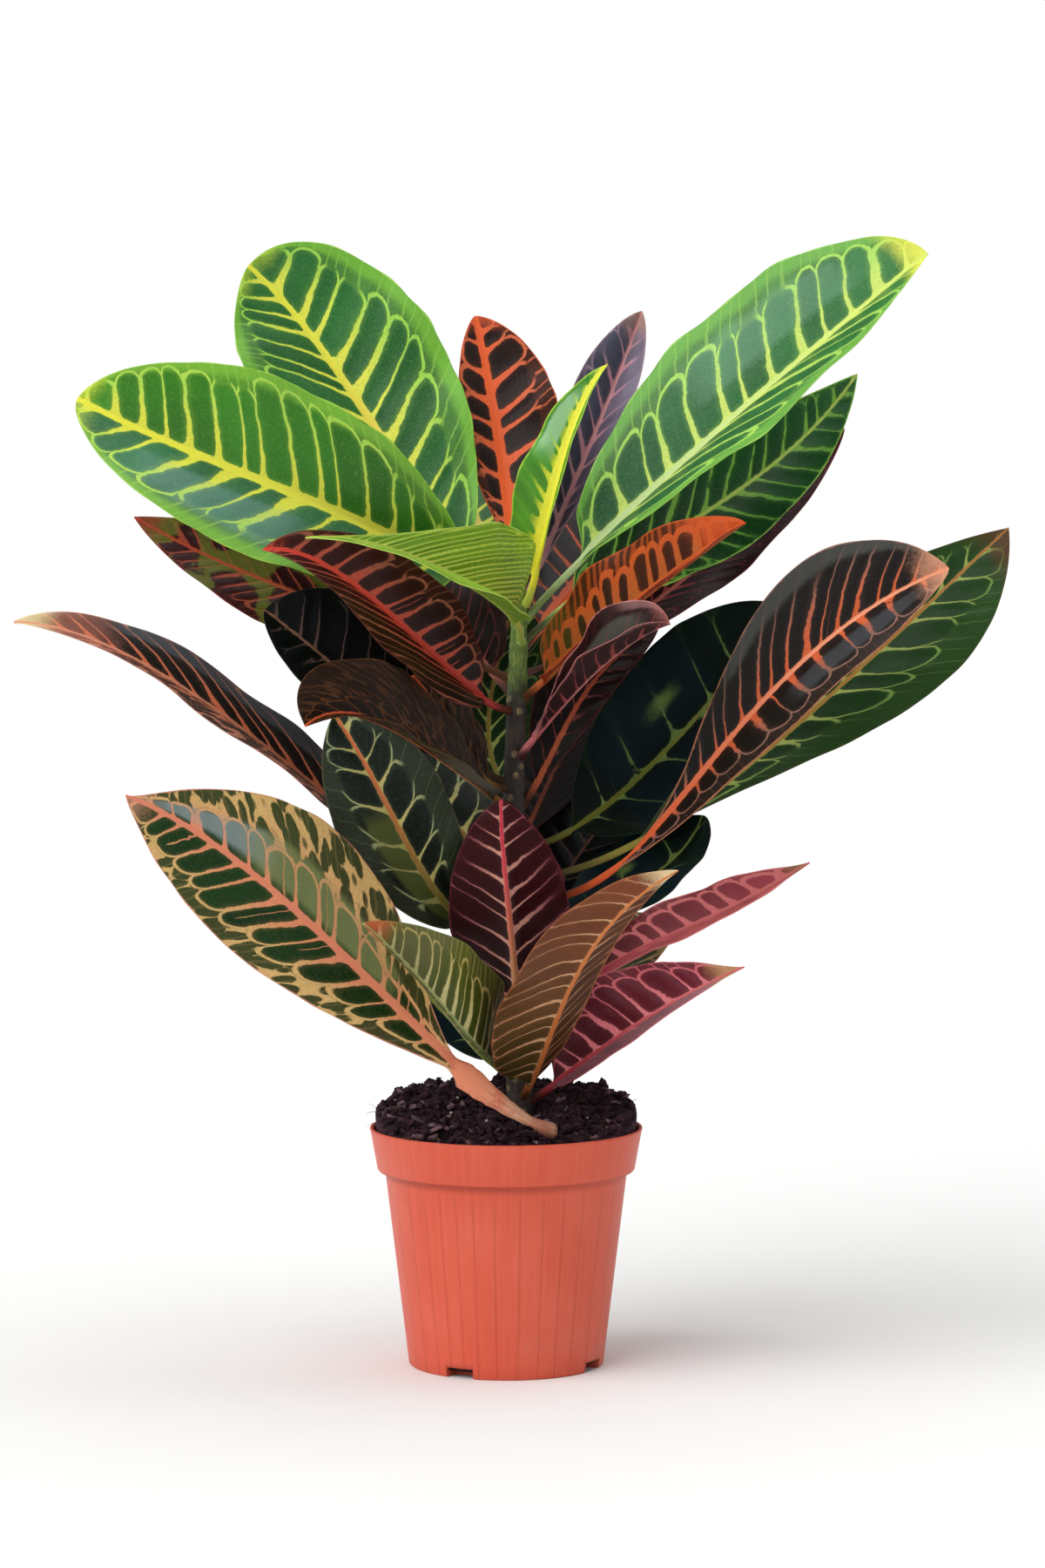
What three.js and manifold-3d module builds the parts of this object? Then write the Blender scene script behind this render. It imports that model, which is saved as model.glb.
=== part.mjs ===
// A potted croton: a tapered plastic pot, the soil in it, one woody stem and its leaves.
// Millimetres, +Z up. The origin is the middle of the pot's flat underside.
import * as THREE from 'three';
import { mergeVertices } from 'three/addons/utils/BufferGeometryUtils.js';
import Module from 'manifold-3d';

const wasm = await Module();
wasm.setup();

// Clearance kept between neighbouring pieces.
const GAP = 0.3;

// Pot: outer radii and heights of the body, the rim band and the wall.
const POT_HEIGHT = 105;
const POT_FOOT_RADIUS = 43;
const POT_NECK_RADIUS = 53.4;
const RIM_HEIGHT = 19;
const RIM_LOW_RADIUS = 56.5;
const RIM_TOP_RADIUS = 60;
const POT_WALL = 1.6;
const POT_FLOOR = 2;
const POT_SIDES = 64;
const SLOT_COUNT = 4;
const SLOT_WIDTH = 13;
const SLOT_HEIGHT = 5;
const SLOT_REACH = 8;
const FIRST_SLOT = THREE.MathUtils.degToRad(-118);

// Soil: its level at the rim, the slope towards the back, the heap in the middle and the shoulders at
// both sides, the height whose inner radius its edge has, and the lumps with the factors that
// scatter them.
const SOIL_LEVEL = 106;
const SOIL_SLOPE = 0.16;
const SOIL_HEAP = 6;
const SOIL_SHOULDER = 8;
const SOIL_EDGE_HEIGHT = 97;
const SOIL_LUMP = 1.3;
const SOIL_RINGS = 9;
const SOIL_SIDES = 40;
const SCATTER_RING = 12.9;
const SCATTER_SIDE = 78.2;
const SCATTER = 437.5;

// Stem: points along its axis and its radius at the same heights.
const STEM_AXIS = [[8, 2, 40], [5, 1, 150], [3, 1, 240], [5, 0, 300], [6, 0, 342]];
const STEM_RADII = [6.5, 5.7, 5, 4.6, 3];
const STEM_SIDES = 14;
const STEM_STEPS = 12;

// Leaf: blade thickness, rib under the midrib, round stalk, waves and rounding of the margins.
const BLADE_THICKNESS = 0.8;
const RIB_DEPTH = 1.6;
const RIB_TIP = 0.1;
const STALK_RADII = [1.7, 1.7, 1.7, 1.7];
const STALK_DROP = 0.6;
const STALK_BLEND = 0.08;
const TIP_HALF_WIDTH = 0.5;
const MARGIN_WAVE = 1.5;
const WAVES = 3;
const RIGHT_WAVE_SHIFT = 0.25;
const ROLL = 8;
const STALK_STATIONS = [0, 0.3, 0.65];
const BLADE_STATIONS = [0, 0.04, 0.1, 0.18, 0.28, 0.38, 0.48, 0.58, 0.68, 0.78, 0.88, 0.95, 1];
const COLUMNS = [-1, -0.5, 0, 0.5, 1];
// The stalk's root: its distance from the stem's axis as a share of the stem's radius.
const ROOT_OFFSET = 0.55;
// The midrib: what each of the four points that it passes weighs in its first inner control point,
// and in reverse order in its second.
const CONTROL_WEIGHTS = [-5 / 6, 3, -1.5, 1 / 3];
const CURVE_STEPS = 240;

// Roughness and colours of the pieces.
const BARK_ROUGHNESS = 0.85;
const POT_ROUGHNESS = 0.45;
const SOIL_ROUGHNESS = 0.95;
const LEAF_ROUGHNESS = 0.35;
const GREEN = '#3b8a3c';
const LIME = '#8fbf2e';
const DARK_GREEN = '#24401f';
const BLACK = '#2c2420';
const RED = '#7a1f22';
const PLUM = '#5a3a4a';
const OLIVE = '#5d6428';
const BRONZE = '#8a4a26';
const BARK = '#6b5a45';
const SOIL_COLOUR = '#2a1f1a';
const TERRACOTTA = '#de6450';

// One row for each leaf. width is the blade's greatest width, stalk the length of its stalk, fold the
// angle by which each half stands up from the midrib (left and right of it, seen from the stem),
// outline the powers of its rise from the stalk and its fall to the tip, face the way that the upper
// side turns, from the height at which it leaves the stem, and via two points and the tip of its
// midrib. Some have outlines, one for each half, or sides, the share of the width that each half has.
// The leaf with a foot starts there, cut off, and its stalk is a sheath with stalkRadii.
const LEAVES = [
  // crown
  { name: 'leaf_01', colour: GREEN, width: 88, stalk: 30, fold: [22, 22], outline: [0.75, 0.6],
    face: [0.16, -0.91, 0.37], from: 330, via: [[-53, -34, 366], [-117, -60, 394], [-180, -72, 423]] },
  { name: 'leaf_02', colour: GREEN, width: 94, stalk: 30, fold: [20, 20], outline: [0.75, 0.5],
    face: [0.3, -0.93, 0.22], from: 335, via: [[-31, 18, 371], [-72, 40, 432], [-115, 46, 484]] },
  { name: 'leaf_03', colour: BLACK, width: 58, stalk: 22, fold: [10, 10], outline: [0.9, 0.7],
    sides: [0.55, 1],
    face: [0.05, -0.9, 0.3], from: 339, via: [[1, 26, 378], [-6, 44, 422], [-14, 52, 462]] },
  { name: 'leaf_04', colour: LIME, width: 34, stalk: 14, fold: [35, 35],
    outlines: [[0.5, 0.9], [0.8, 0.7]], sides: [1, 0.35],
    face: [-0.54, -0.82, 0.19], from: 335, via: [[14, -10, 355], [25, -14, 399], [44, -8, 439]] },
  { name: 'leaf_05', colour: PLUM, width: 38, stalk: 24, fold: [35, 35], outline: [1.6, 0.75],
    sides: [1, 0.75],
    face: [-0.1, -1, 0.1], from: 332, via: [[23, 46, 370], [46, 68, 425], [61, 74, 465]] },
  { name: 'leaf_06', colour: GREEN, width: 94, stalk: 34, fold: [25, 25], outline: [0.75, 0.6],
    face: [-0.51, -0.63, 0.59], from: 328, via: [[53, 4, 374], [117, 4, 431], [183, -6, 487]] },
  { name: 'leaf_07', colour: GREEN, width: 54, stalk: 28, fold: [15, 15], outline: [0.8, 0.9],
    face: [-0.22, -0.94, 0.26], from: 318, via: [[57, 26, 355], [110, 40, 389], [156, 40, 436]] },
  { name: 'leaf_08', colour: RED, width: 42, stalk: 28, fold: [20, 20], outline: [0.8, 0.7],
    face: [-0.33, -0.87, 0.37], from: 305, via: [[54, 34, 326], [105, 58, 366], [152, 64, 412]] },
  { name: 'leaf_09', colour: BLACK, width: 48, stalk: 14, fold: [40, 40], outline: [0.6, 0.7],
    face: [-0.46, -0.64, 0.61], from: 294, via: [[41, -32, 324], [74, -54, 351], [101, -72, 371]] },
  { name: 'leaf_10', colour: LIME, width: 70, stalk: 18, fold: [38, 38],
    outlines: [[0.9, 1.1], [0.32, 2.1]],
    face: [0.24, -0.74, 0.63], from: 318, via: [[-4, -33, 337], [-43, -74, 358], [-83, -98, 365]] },
  // middle
  { name: 'leaf_11', colour: RED, width: 52, stalk: 20, fold: [25, 25], outline: [0.7, 0.9],
    face: [0.31, -0.82, 0.48], from: 289, via: [[-26, -38, 309], [-63, -70, 344], [-101, -92, 360]] },
  { name: 'leaf_12', colour: RED, width: 44, stalk: 30, fold: [15, 15], outline: [0.8, 0.9],
    face: [0.17, -0.91, 0.39], from: 302, via: [[-50, 0, 324], [-107, -8, 346], [-161, -16, 373]] },
  { name: 'leaf_13', colour: RED, width: 36, stalk: 14, fold: [50, 50], outline: [1.8, 0.5],
    face: [-0.52, -0.5, 0.69], from: 269, via: [[22, -40, 291], [44, -68, 314], [69, -86, 329]] },
  { name: 'leaf_14', colour: RED, width: 42, stalk: 14, fold: [10, 10], outline: [0.8, 0.6],
    sides: [1, 0.5],
    face: [-0.13, -0.98, 0.11], from: 245, via: [[22, 0, 273], [38, 6, 300], [67, 10, 326]] },
  { name: 'leaf_15', colour: BLACK, width: 66, stalk: 44, fold: [25, 25],
    outlines: [[2.6, 0.85], [1.2, 0.6]], sides: [1, 0.88],
    face: [-0.35, -0.85, 0.4], from: 205, via: [[60, -32, 234], [111, -54, 296], [187, -70, 352]] },
  { name: 'leaf_16', colour: DARK_GREEN, width: 62, stalk: 50, fold: [8, 8],
    outlines: [[1.2, 1], [2.2, 0.9]],
    face: [-0.11, -0.98, 0.13], from: 215, via: [[69, 12, 236], [142, 18, 293], [221, 14, 368]] },
  { name: 'leaf_17', colour: DARK_GREEN, width: 76, stalk: 30, fold: [8, 8], outline: [0.8, 0.6],
    face: [-0.19, -0.97, 0.18], from: 227, via: [[42, 34, 242], [82, 60, 278], [128, 76, 330]] },
  { name: 'leaf_18', colour: DARK_GREEN, width: 68, stalk: 26, fold: [12, 12], outline: [0.8, 0.6],
    sides: [0.55, 1],
    face: [0.21, -0.94, 0.27], from: 256, via: [[-42, -10, 283], [-76, -20, 310], [-104, -28, 333]] },
  { name: 'leaf_19', colour: PLUM, width: 48, stalk: 40, fold: [16, 16], outline: [0.8, 0.8],
    face: [0.43, -0.41, 0.81], from: 196, via: [[-65, -12, 241], [-137, -42, 299], [-208, -66, 329]] },
  { name: 'leaf_20', colour: BLACK, width: 50, stalk: 18, fold: [40, 40],
    outlines: [[0.8, 0.6], [1.1, 0.4]],
    face: [0.19, -0.71, 0.68], from: 247, via: [[-23, -46, 267], [-55, -78, 288], [-83, -104, 287]] },
  { name: 'leaf_21', colour: DARK_GREEN, width: 52, stalk: 22, fold: [10, 10], outline: [0.8, 0.6],
    face: [0.15, -0.98, 0.09], from: 190, via: [[-27, -20, 206], [-49, -38, 245], [-73, -54, 289]] },
  { name: 'leaf_22', colour: BLACK, width: 28, stalk: 16, fold: [20, 20], outline: [0.8, 0.6],
    face: [0.42, -0.87, 0.27], from: 255, via: [[-13, -18, 263], [-26, -28, 284], [-40, -38, 305]] },
  { name: 'leaf_23', colour: DARK_GREEN, width: 52, stalk: 26, fold: [20, 20], outline: [0.8, 0.6],
    face: [-0.54, -0.64, 0.55], from: 160, via: [[38, 20, 193], [69, 34, 215], [88, 44, 239]] },
  // lower
  { name: 'leaf_24', colour: OLIVE, width: 82, stalk: 56, fold: [10, -8],
    outlines: [[1.2, 0.75], [1.9, 1.45]], sides: [0.83, 1],
    face: [0.24, -0.93, 0.29], foot: [22, -40, 109], stalkRadii: [3.8, 2.2, 3.8, 5.8],
    via: [[-27, -76, 148], [-90, -86, 210], [-158, -100, 258]] },
  { name: 'leaf_25', colour: OLIVE, width: 58, stalk: 14, fold: [34, 34],
    outlines: [[1.6, 0.8], [0.6, 0.8]], sides: [0.45, 1],
    face: [0.52, -0.71, 0.48], from: 128, via: [[-13, -46, 146], [-31, -84, 173], [-59, -116, 206]] },
  { name: 'leaf_26', colour: PLUM, width: 54, stalk: 14, fold: [12, 12], outline: [0.7, 0.7],
    face: [0, 1, 0.3], from: 140, via: [[4, -24, 174], [0, -38, 217], [-2, -40, 252]] },
  { name: 'leaf_27', colour: BRONZE, width: 58, stalk: 14, fold: [2, 2], outline: [0.6, 0.9],
    sides: [0.45, 1],
    face: [-0.42, 0.85, 0.33], from: 119, via: [[19, -44, 152], [37, -78, 193], [72, -104, 227]] },
  { name: 'leaf_28', colour: RED, width: 58, stalk: 14, fold: [20, 20], outline: [0.6, 1.15],
    sides: [1, 0.45],
    face: [-0.37, -0.68, 0.63], from: 116, via: [[34, -14, 135], [62, -32, 157], [102, -52, 181]] },
  { name: 'leaf_29', colour: RED, width: 34, stalk: 26, fold: [20, 20], outline: [0.9, 1],
    sides: [1, 0.6],
    face: [-0.38, -0.57, 0.73], from: 142, via: [[45, 0, 175], [83, -8, 195], [132, -18, 223]] },
  // far side
  { name: 'leaf_30', colour: GREEN, width: 76, stalk: 26, fold: [12, 12], outline: [0.75, 0.6],
    face: [0.15, -0.9, 0.6], from: 328, via: [[-11, 62, 363], [-27, 108, 403], [-44, 138, 434]] },
  { name: 'leaf_31', colour: BLACK, width: 74, stalk: 26, fold: [15, 15], outline: [0.8, 0.6],
    face: [-0.3, -0.8, 0.7], from: 314, via: [[36, 68, 348], [69, 114, 383], [105, 150, 408]] },
  { name: 'leaf_32', colour: RED, width: 70, stalk: 26, fold: [15, 15], outline: [0.8, 0.6],
    face: [0.3, -0.7, 0.8], from: 294, via: [[-24, 58, 321], [-57, 104, 345], [-91, 140, 360]] },
  { name: 'leaf_33', colour: DARK_GREEN, width: 66, stalk: 12, fold: [15, 15], outline: [0.55, 0.6],
    face: [0, -0.8, 0.7], from: 250, via: [[-8, 44, 278], [-2, 84, 314], [8, 116, 350]] },
  { name: 'leaf_34', colour: RED, width: 66, stalk: 18, fold: [15, 15], outline: [0.8, 0.6],
    face: [-0.3, -0.7, 0.8], from: 224, via: [[18, 59, 250], [35, 101, 280], [56, 136, 304]] },
  { name: 'leaf_35', colour: DARK_GREEN, width: 66, stalk: 18, fold: [15, 15], outline: [0.8, 0.6],
    face: [0.3, -0.7, 0.8], from: 203, via: [[-18, 48, 228], [-44, 88, 252], [-72, 120, 266]] },
  { name: 'leaf_36', colour: BLACK, width: 64, stalk: 18, fold: [15, 15], outline: [0.8, 0.6],
    face: [0, -0.7, 0.8], from: 178, via: [[22, 48, 204], [44, 86, 232], [68, 118, 250]] },
  { name: 'leaf_37', colour: RED, width: 50, stalk: 12, fold: [15, 15], outline: [0.6, 0.6],
    sides: [0.45, 1],
    face: [0.1, -0.97, 0.25], from: 136, via: [[-12, 22, 138], [-34, 32, 158], [-62, 42, 184]] },
  { name: 'leaf_38', colour: DARK_GREEN, width: 58, stalk: 22, fold: [15, 15], outline: [0.8, 0.6],
    face: [-0.3, -0.6, 0.9], from: 134, via: [[29, 46, 155], [53, 84, 174], [78, 116, 183]] },
];

// Adds one named piece to the group.
const group = new THREE.Group();
function addPiece(name, geometry, colour, roughness) {
  const material = new THREE.MeshStandardMaterial({ color: colour, roughness, metalness: 0 });
  const mesh = new THREE.Mesh(geometry, material);
  mesh.name = name;
  group.add(mesh);
}

// A closed solid for cutting and joining, from a closed geometry.
function toSolid(geometry) {
  const bare = geometry.clone();
  bare.deleteAttribute('normal');
  bare.deleteAttribute('uv');
  const merged = mergeVertices(bare);
  const vertProperties = new Float32Array(merged.getAttribute('position').array);
  const triVerts = new Uint32Array(merged.getIndex().array);
  return new wasm.Manifold(new wasm.Mesh({ numProp: 3, vertProperties, triVerts }));
}

// A geometry from a closed solid.
function toGeometry(solid) {
  const mesh = solid.getMesh();
  const geometry = new THREE.BufferGeometry();
  geometry.setAttribute('position', new THREE.BufferAttribute(new Float32Array(mesh.vertProperties), 3));
  geometry.setIndex(new THREE.BufferAttribute(new Uint32Array(mesh.triVerts), 1));
  geometry.computeVertexNormals();
  return geometry;
}

// A closed geometry through rings of points. flipped says for each strip between two neighbouring
// points of a ring whether the diagonals of its faces are turned the other way.
function loft(rings, flipped) {
  const count = rings[0].length;
  const position = [];
  const index = [];
  for (const ring of rings) {
    for (const point of ring) {
      position.push(point.x, point.y, point.z);
    }
  }
  for (let i = 0; i + 1 < rings.length; i += 1) {
    for (let j = 0; j < count; j += 1) {
      const a = i * count + j;
      const b = i * count + ((j + 1) % count);
      const c = b + count;
      const d = a + count;
      if (flipped(j)) {
        index.push(a, b, d, b, c, d);
      } else {
        index.push(a, b, c, a, c, d);
      }
    }
  }
  // Each end is closed by strips between the first half of its ring and the second.
  const last = (rings.length - 1) * count;
  for (let j = 0; j < count / 2 - 1; j += 1) {
    const near = [j, j + 1];
    const far = [count - 2 - j, count - 1 - j];
    index.push(near[0], far[0], near[1], near[0], far[1], far[0]);
    index.push(last + near[0], last + near[1], last + far[0]);
    index.push(last + near[0], last + far[0], last + far[1]);
  }
  const geometry = new THREE.BufferGeometry();
  geometry.setAttribute('position', new THREE.Float32BufferAttribute(position, 3));
  geometry.setIndex(index);
  geometry.computeVertexNormals();
  return geometry;
}

// Value at x of the broken line through the points (xs, ys).
function along(xs, ys, x) {
  let i = 0;
  while (i + 2 < xs.length && x > xs[i + 1]) {
    i += 1;
  }
  const part = (x - xs[i]) / (xs[i + 1] - xs[i]);
  return THREE.MathUtils.lerp(ys[i], ys[i + 1], part);
}

// The stem's middle and radius at height z.
const STEM_HEIGHTS = STEM_AXIS.map((point) => point[2]);
const STEM_X = STEM_AXIS.map((point) => point[0]);
const STEM_Y = STEM_AXIS.map((point) => point[1]);
function stemMiddle(z) {
  return new THREE.Vector3(along(STEM_HEIGHTS, STEM_X, z), along(STEM_HEIGHTS, STEM_Y, z), z);
}
function stemRadius(z) {
  return along(STEM_HEIGHTS, STEM_RADII, z);
}

// The stem, thicker all round and at its ends by extra.
function stemGeometry(extra) {
  const low = STEM_HEIGHTS[0];
  const high = STEM_HEIGHTS[STEM_HEIGHTS.length - 1];
  const rings = [];
  for (let i = 0; i <= STEM_STEPS; i += 1) {
    const z = THREE.MathUtils.lerp(low, high, i / STEM_STEPS);
    const middle = stemMiddle(z);
    if (i === 0) {
      middle.z -= extra;
    }
    if (i === STEM_STEPS) {
      middle.z += extra;
    }
    const ring = [];
    for (let j = 0; j < STEM_SIDES; j += 1) {
      const angle = (2 * Math.PI * j) / STEM_SIDES;
      const radius = stemRadius(z) + extra;
      const x = middle.x + radius * Math.cos(angle);
      const y = middle.y + radius * Math.sin(angle);
      ring.push(new THREE.Vector3(x, y, middle.z));
    }
    rings.push(ring);
  }
  return loft(rings, () => false);
}
const stemRoom = toSolid(stemGeometry(GAP));
addPiece('stem', stemGeometry(0), BARK, BARK_ROUGHNESS);

// The pot: a turned wall with a rim band, cut by slots where the wall meets the floor.
const neckHeight = POT_HEIGHT - RIM_HEIGHT;
const potProfile = [
  new THREE.Vector2(0, 0),
  new THREE.Vector2(POT_FOOT_RADIUS, 0),
  new THREE.Vector2(POT_NECK_RADIUS, neckHeight),
  new THREE.Vector2(RIM_LOW_RADIUS, neckHeight),
  new THREE.Vector2(RIM_TOP_RADIUS, POT_HEIGHT),
  new THREE.Vector2(RIM_TOP_RADIUS - POT_WALL, POT_HEIGHT),
  new THREE.Vector2(RIM_LOW_RADIUS - POT_WALL, neckHeight + POT_WALL),
  new THREE.Vector2(POT_NECK_RADIUS - POT_WALL, neckHeight),
  new THREE.Vector2(POT_FOOT_RADIUS - POT_WALL, POT_FLOOR),
  new THREE.Vector2(0, POT_FLOOR),
];
// A turned solid standing along +Z.
function turned(profile, sides) {
  return new THREE.LatheGeometry(profile, sides).rotateX(Math.PI / 2);
}
let pot = toSolid(turned(potProfile, POT_SIDES));
for (let i = 0; i < SLOT_COUNT; i += 1) {
  const slot = new THREE.BoxGeometry(2 * SLOT_REACH, SLOT_WIDTH, 2 * SLOT_HEIGHT);
  slot.translate(POT_FOOT_RADIUS, 0, 0);
  slot.rotateZ(FIRST_SLOT + (2 * Math.PI * i) / SLOT_COUNT);
  pot = pot.subtract(toSolid(slot));
}
addPiece('pot', toGeometry(pot), TERRACOTTA, POT_ROUGHNESS);

// The soil: it fills the pot's inside and its lumpy top rises from the front to the back.
function inside(z) {
  const heights = [0, POT_FLOOR, neckHeight, neckHeight + POT_WALL, POT_HEIGHT, 2 * POT_HEIGHT];
  const foot = POT_FOOT_RADIUS - POT_WALL;
  const rim = RIM_TOP_RADIUS - POT_WALL;
  const radii = [foot, foot, POT_NECK_RADIUS - POT_WALL, RIM_LOW_RADIUS - POT_WALL, rim, rim];
  return along(heights, radii, z - 2 * GAP) - 2 * GAP;
}
// A fixed value between -1 and 1 for each ring and side.
function lump(ring, side) {
  const value = SCATTER * Math.sin(ring * SCATTER_RING + side * SCATTER_SIDE);
  return 2 * (value - Math.floor(value)) - 1;
}
function soilTop(x, y) {
  const radius = Math.hypot(x, y) / RIM_TOP_RADIUS;
  const side = x / RIM_TOP_RADIUS;
  return SOIL_LEVEL + SOIL_SLOPE * y + SOIL_HEAP * (1 - radius * radius) + SOIL_SHOULDER * side * side;
}
const soilRings = [];
const soilBottom = POT_FLOOR + GAP;
const soilSteps = [soilBottom, neckHeight + GAP, neckHeight + POT_WALL + 2 * GAP];
for (let i = 0; i < soilSteps.length + SOIL_RINGS; i += 1) {
  const ring = [];
  for (let j = 0; j < SOIL_SIDES; j += 1) {
    const angle = (2 * Math.PI * j) / SOIL_SIDES;
    const direction = new THREE.Vector3(Math.cos(angle), Math.sin(angle), 0);
    const step = i - soilSteps.length;
    if (step < 0) {
      const z = soilSteps[i];
      ring.push(direction.multiplyScalar(inside(z)).setZ(z));
    } else {
      const edge = inside(SOIL_EDGE_HEIGHT);
      const point = direction.multiplyScalar((edge * (SOIL_RINGS - step)) / SOIL_RINGS);
      point.z = soilTop(point.x, point.y) + SOIL_LUMP * lump(step, j);
      ring.push(point);
    }
  }
  soilRings.push(ring);
}
const soil = toSolid(loft(soilRings, () => false)).subtract(stemRoom);
addPiece('soil', toGeometry(soil), SOIL_COLOUR, SOIL_ROUGHNESS);

// The midrib's curve: one cubic that passes its four points at even steps.
function midribCurve(leaf) {
  const via = leaf.via.map((point) => new THREE.Vector3(...point));
  let root;
  if (leaf.foot) {
    root = new THREE.Vector3(...leaf.foot);
  } else {
    const middle = stemMiddle(leaf.from);
    const outward = via[0].clone().sub(middle).setZ(0).normalize();
    root = middle.addScaledVector(outward, ROOT_OFFSET * stemRadius(leaf.from));
  }
  const [a, b, tip] = via;
  const passed = [root, a, b, tip];
  const first = new THREE.Vector3();
  const second = new THREE.Vector3();
  for (let i = 0; i < passed.length; i += 1) {
    first.addScaledVector(passed[i], CONTROL_WEIGHTS[i]);
    second.addScaledVector(passed[i], CONTROL_WEIGHTS[passed.length - 1 - i]);
  }
  const curve = new THREE.CubicBezierCurve3(root, first, second, tip);
  curve.arcLengthDivisions = CURVE_STEPS;
  return curve;
}

// The blade's width on one side of its midrib, at the share s of its length.
function halfWidth(leaf, s, right) {
  const [rise, fall] = leaf.outlines ? leaf.outlines[right] : leaf.outline;
  const peak = rise / (rise + fall);
  const top = peak ** rise * (1 - peak) ** fall;
  const share = leaf.sides ? leaf.sides[right] : 1;
  return (share * (leaf.width / 2) * (s ** rise * (1 - s) ** fall)) / top;
}

// The blade's section at side v (-1 to 1) of a station: sideways and upward, and its slope there.
function bladeSection(leaf, s, v) {
  if (v === 0) {
    return { sideways: 0, upward: 0, slope: 0 };
  }
  const right = v > 0 ? 1 : 0;
  const distance = Math.abs(v) * Math.max(halfWidth(leaf, s, right), TIP_HALF_WIDTH);
  const start = THREE.MathUtils.degToRad(leaf.fold[right] + ROLL);
  const bend = THREE.MathUtils.degToRad((-4 * ROLL) / leaf.width);
  const slope = start + bend * distance;
  const wave = Math.sin(2 * Math.PI * (WAVES * s + RIGHT_WAVE_SHIFT * right));
  const lift = MARGIN_WAVE * (distance / (leaf.width / 2)) ** 2 * wave;
  return {
    sideways: (Math.sign(v) * (Math.sin(slope) - Math.sin(start))) / bend,
    upward: (Math.cos(start) - Math.cos(slope)) / bend + lift,
    slope: Math.sign(v) * slope,
  };
}

// A leaf: ten points a ring, five along its upper side and five back along its lower side. The round
// stalk runs over into the blade, which carries a rib under its midrib.
function leafGeometry(leaf) {
  const curve = midribCurve(leaf);
  const length = curve.getLength();
  const stations = [];
  for (const part of STALK_STATIONS) {
    stations.push({ distance: part * leaf.stalk, s: 0, stalkPart: part });
  }
  for (const s of BLADE_STATIONS) {
    stations.push({ distance: leaf.stalk + s * (length - leaf.stalk), s, stalkPart: 1 });
  }
  const face = new THREE.Vector3(...leaf.face);
  const rings = [];
  for (const station of stations) {
    const share = station.distance / length;
    const middle = curve.getPointAt(share);
    const tangent = curve.getTangentAt(share);
    const normal = face.clone().addScaledVector(tangent, -face.dot(tangent)).normalize();
    const across = tangent.clone().cross(normal);
    const blend = THREE.MathUtils.smoothstep(station.s, 0, STALK_BLEND);
    const rib = RIB_DEPTH * (1 - station.s) + RIB_TIP;
    const radii = leaf.stalkRadii ?? STALK_RADII;
    const radius = along([...STALK_STATIONS, 1], radii, station.stalkPart);
    const ring = [];
    for (const lower of [false, true]) {
      for (let k = 0; k < COLUMNS.length; k += 1) {
        const v = lower ? -COLUMNS[k] : COLUMNS[k];
        const section = bladeSection(leaf, station.s, v);
        let x = section.sideways;
        let z = section.upward;
        if (lower) {
          const depth = BLADE_THICKNESS + (v === 0 ? rib : 0);
          x += Math.sin(section.slope) * depth;
          z -= Math.cos(section.slope) * depth;
        }
        const turn = (Math.PI * (k + 0.5)) / COLUMNS.length;
        const angle = lower ? -turn : Math.PI - turn;
        const stalkX = radius * Math.cos(angle);
        const stalkZ = radius * Math.sin(angle) - STALK_DROP * radius;
        const sideways = THREE.MathUtils.lerp(stalkX, x, blend);
        const upward = THREE.MathUtils.lerp(stalkZ, z, blend);
        ring.push(middle.clone().addScaledVector(across, sideways).addScaledVector(normal, upward));
      }
    }
    rings.push(ring);
  }
  // The lower strips run back to front, so their diagonals are turned to lie under the upper ones.
  return loft(rings, (j) => j >= COLUMNS.length);
}
for (const leaf of LEAVES) {
  const solid = toSolid(leafGeometry(leaf)).subtract(stemRoom);
  addPiece(leaf.name, toGeometry(solid), leaf.colour, LEAF_ROUGHNESS);
}

export default group;
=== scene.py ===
import math
import bmesh
import bpy
import numpy as np
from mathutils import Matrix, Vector, noise


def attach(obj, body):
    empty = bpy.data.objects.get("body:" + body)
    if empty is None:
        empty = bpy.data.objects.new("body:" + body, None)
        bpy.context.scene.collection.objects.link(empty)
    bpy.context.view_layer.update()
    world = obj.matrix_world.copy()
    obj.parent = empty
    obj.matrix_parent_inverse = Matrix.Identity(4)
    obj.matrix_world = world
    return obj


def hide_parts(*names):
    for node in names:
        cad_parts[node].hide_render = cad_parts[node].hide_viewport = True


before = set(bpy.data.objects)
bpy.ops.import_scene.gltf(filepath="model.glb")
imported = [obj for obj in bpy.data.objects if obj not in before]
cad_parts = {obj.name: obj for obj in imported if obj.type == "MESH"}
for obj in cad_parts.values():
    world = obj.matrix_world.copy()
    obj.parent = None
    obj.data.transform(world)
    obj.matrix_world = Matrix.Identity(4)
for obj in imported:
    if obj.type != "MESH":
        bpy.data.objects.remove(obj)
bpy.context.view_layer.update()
MM = 0.001

# ---- Camera: two metres in front of the plant, level with its upper leaves and looking a little
# down on it, with a long lens. Places are millimetres.
PLANT_X = 7.2
CAMERA_PLACE = Vector((PLANT_X, -2000, 390)) * MM
CAMERA_AIM = Vector((PLANT_X, 0, 256)) * MM

camera_data = bpy.data.cameras.new("camera")
camera_data.lens = 105
camera_data.sensor_width = 36
camera = bpy.data.objects.new("camera", camera_data)
bpy.context.collection.objects.link(camera)
camera.location = CAMERA_PLACE
camera.rotation_mode = "QUATERNION"
camera.rotation_quaternion = (CAMERA_AIM - camera.location).to_track_quat("-Z", "Y")
bpy.context.scene.camera = camera


# ---- Floor and light: a plain pale floor in a white surround, lit by three very broad soft lamps
# with the key at the left. The surround looks white but gives only a quarter of its light.
FLOOR_REACH = 60
SURROUND_LIGHT = 0.25
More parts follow.
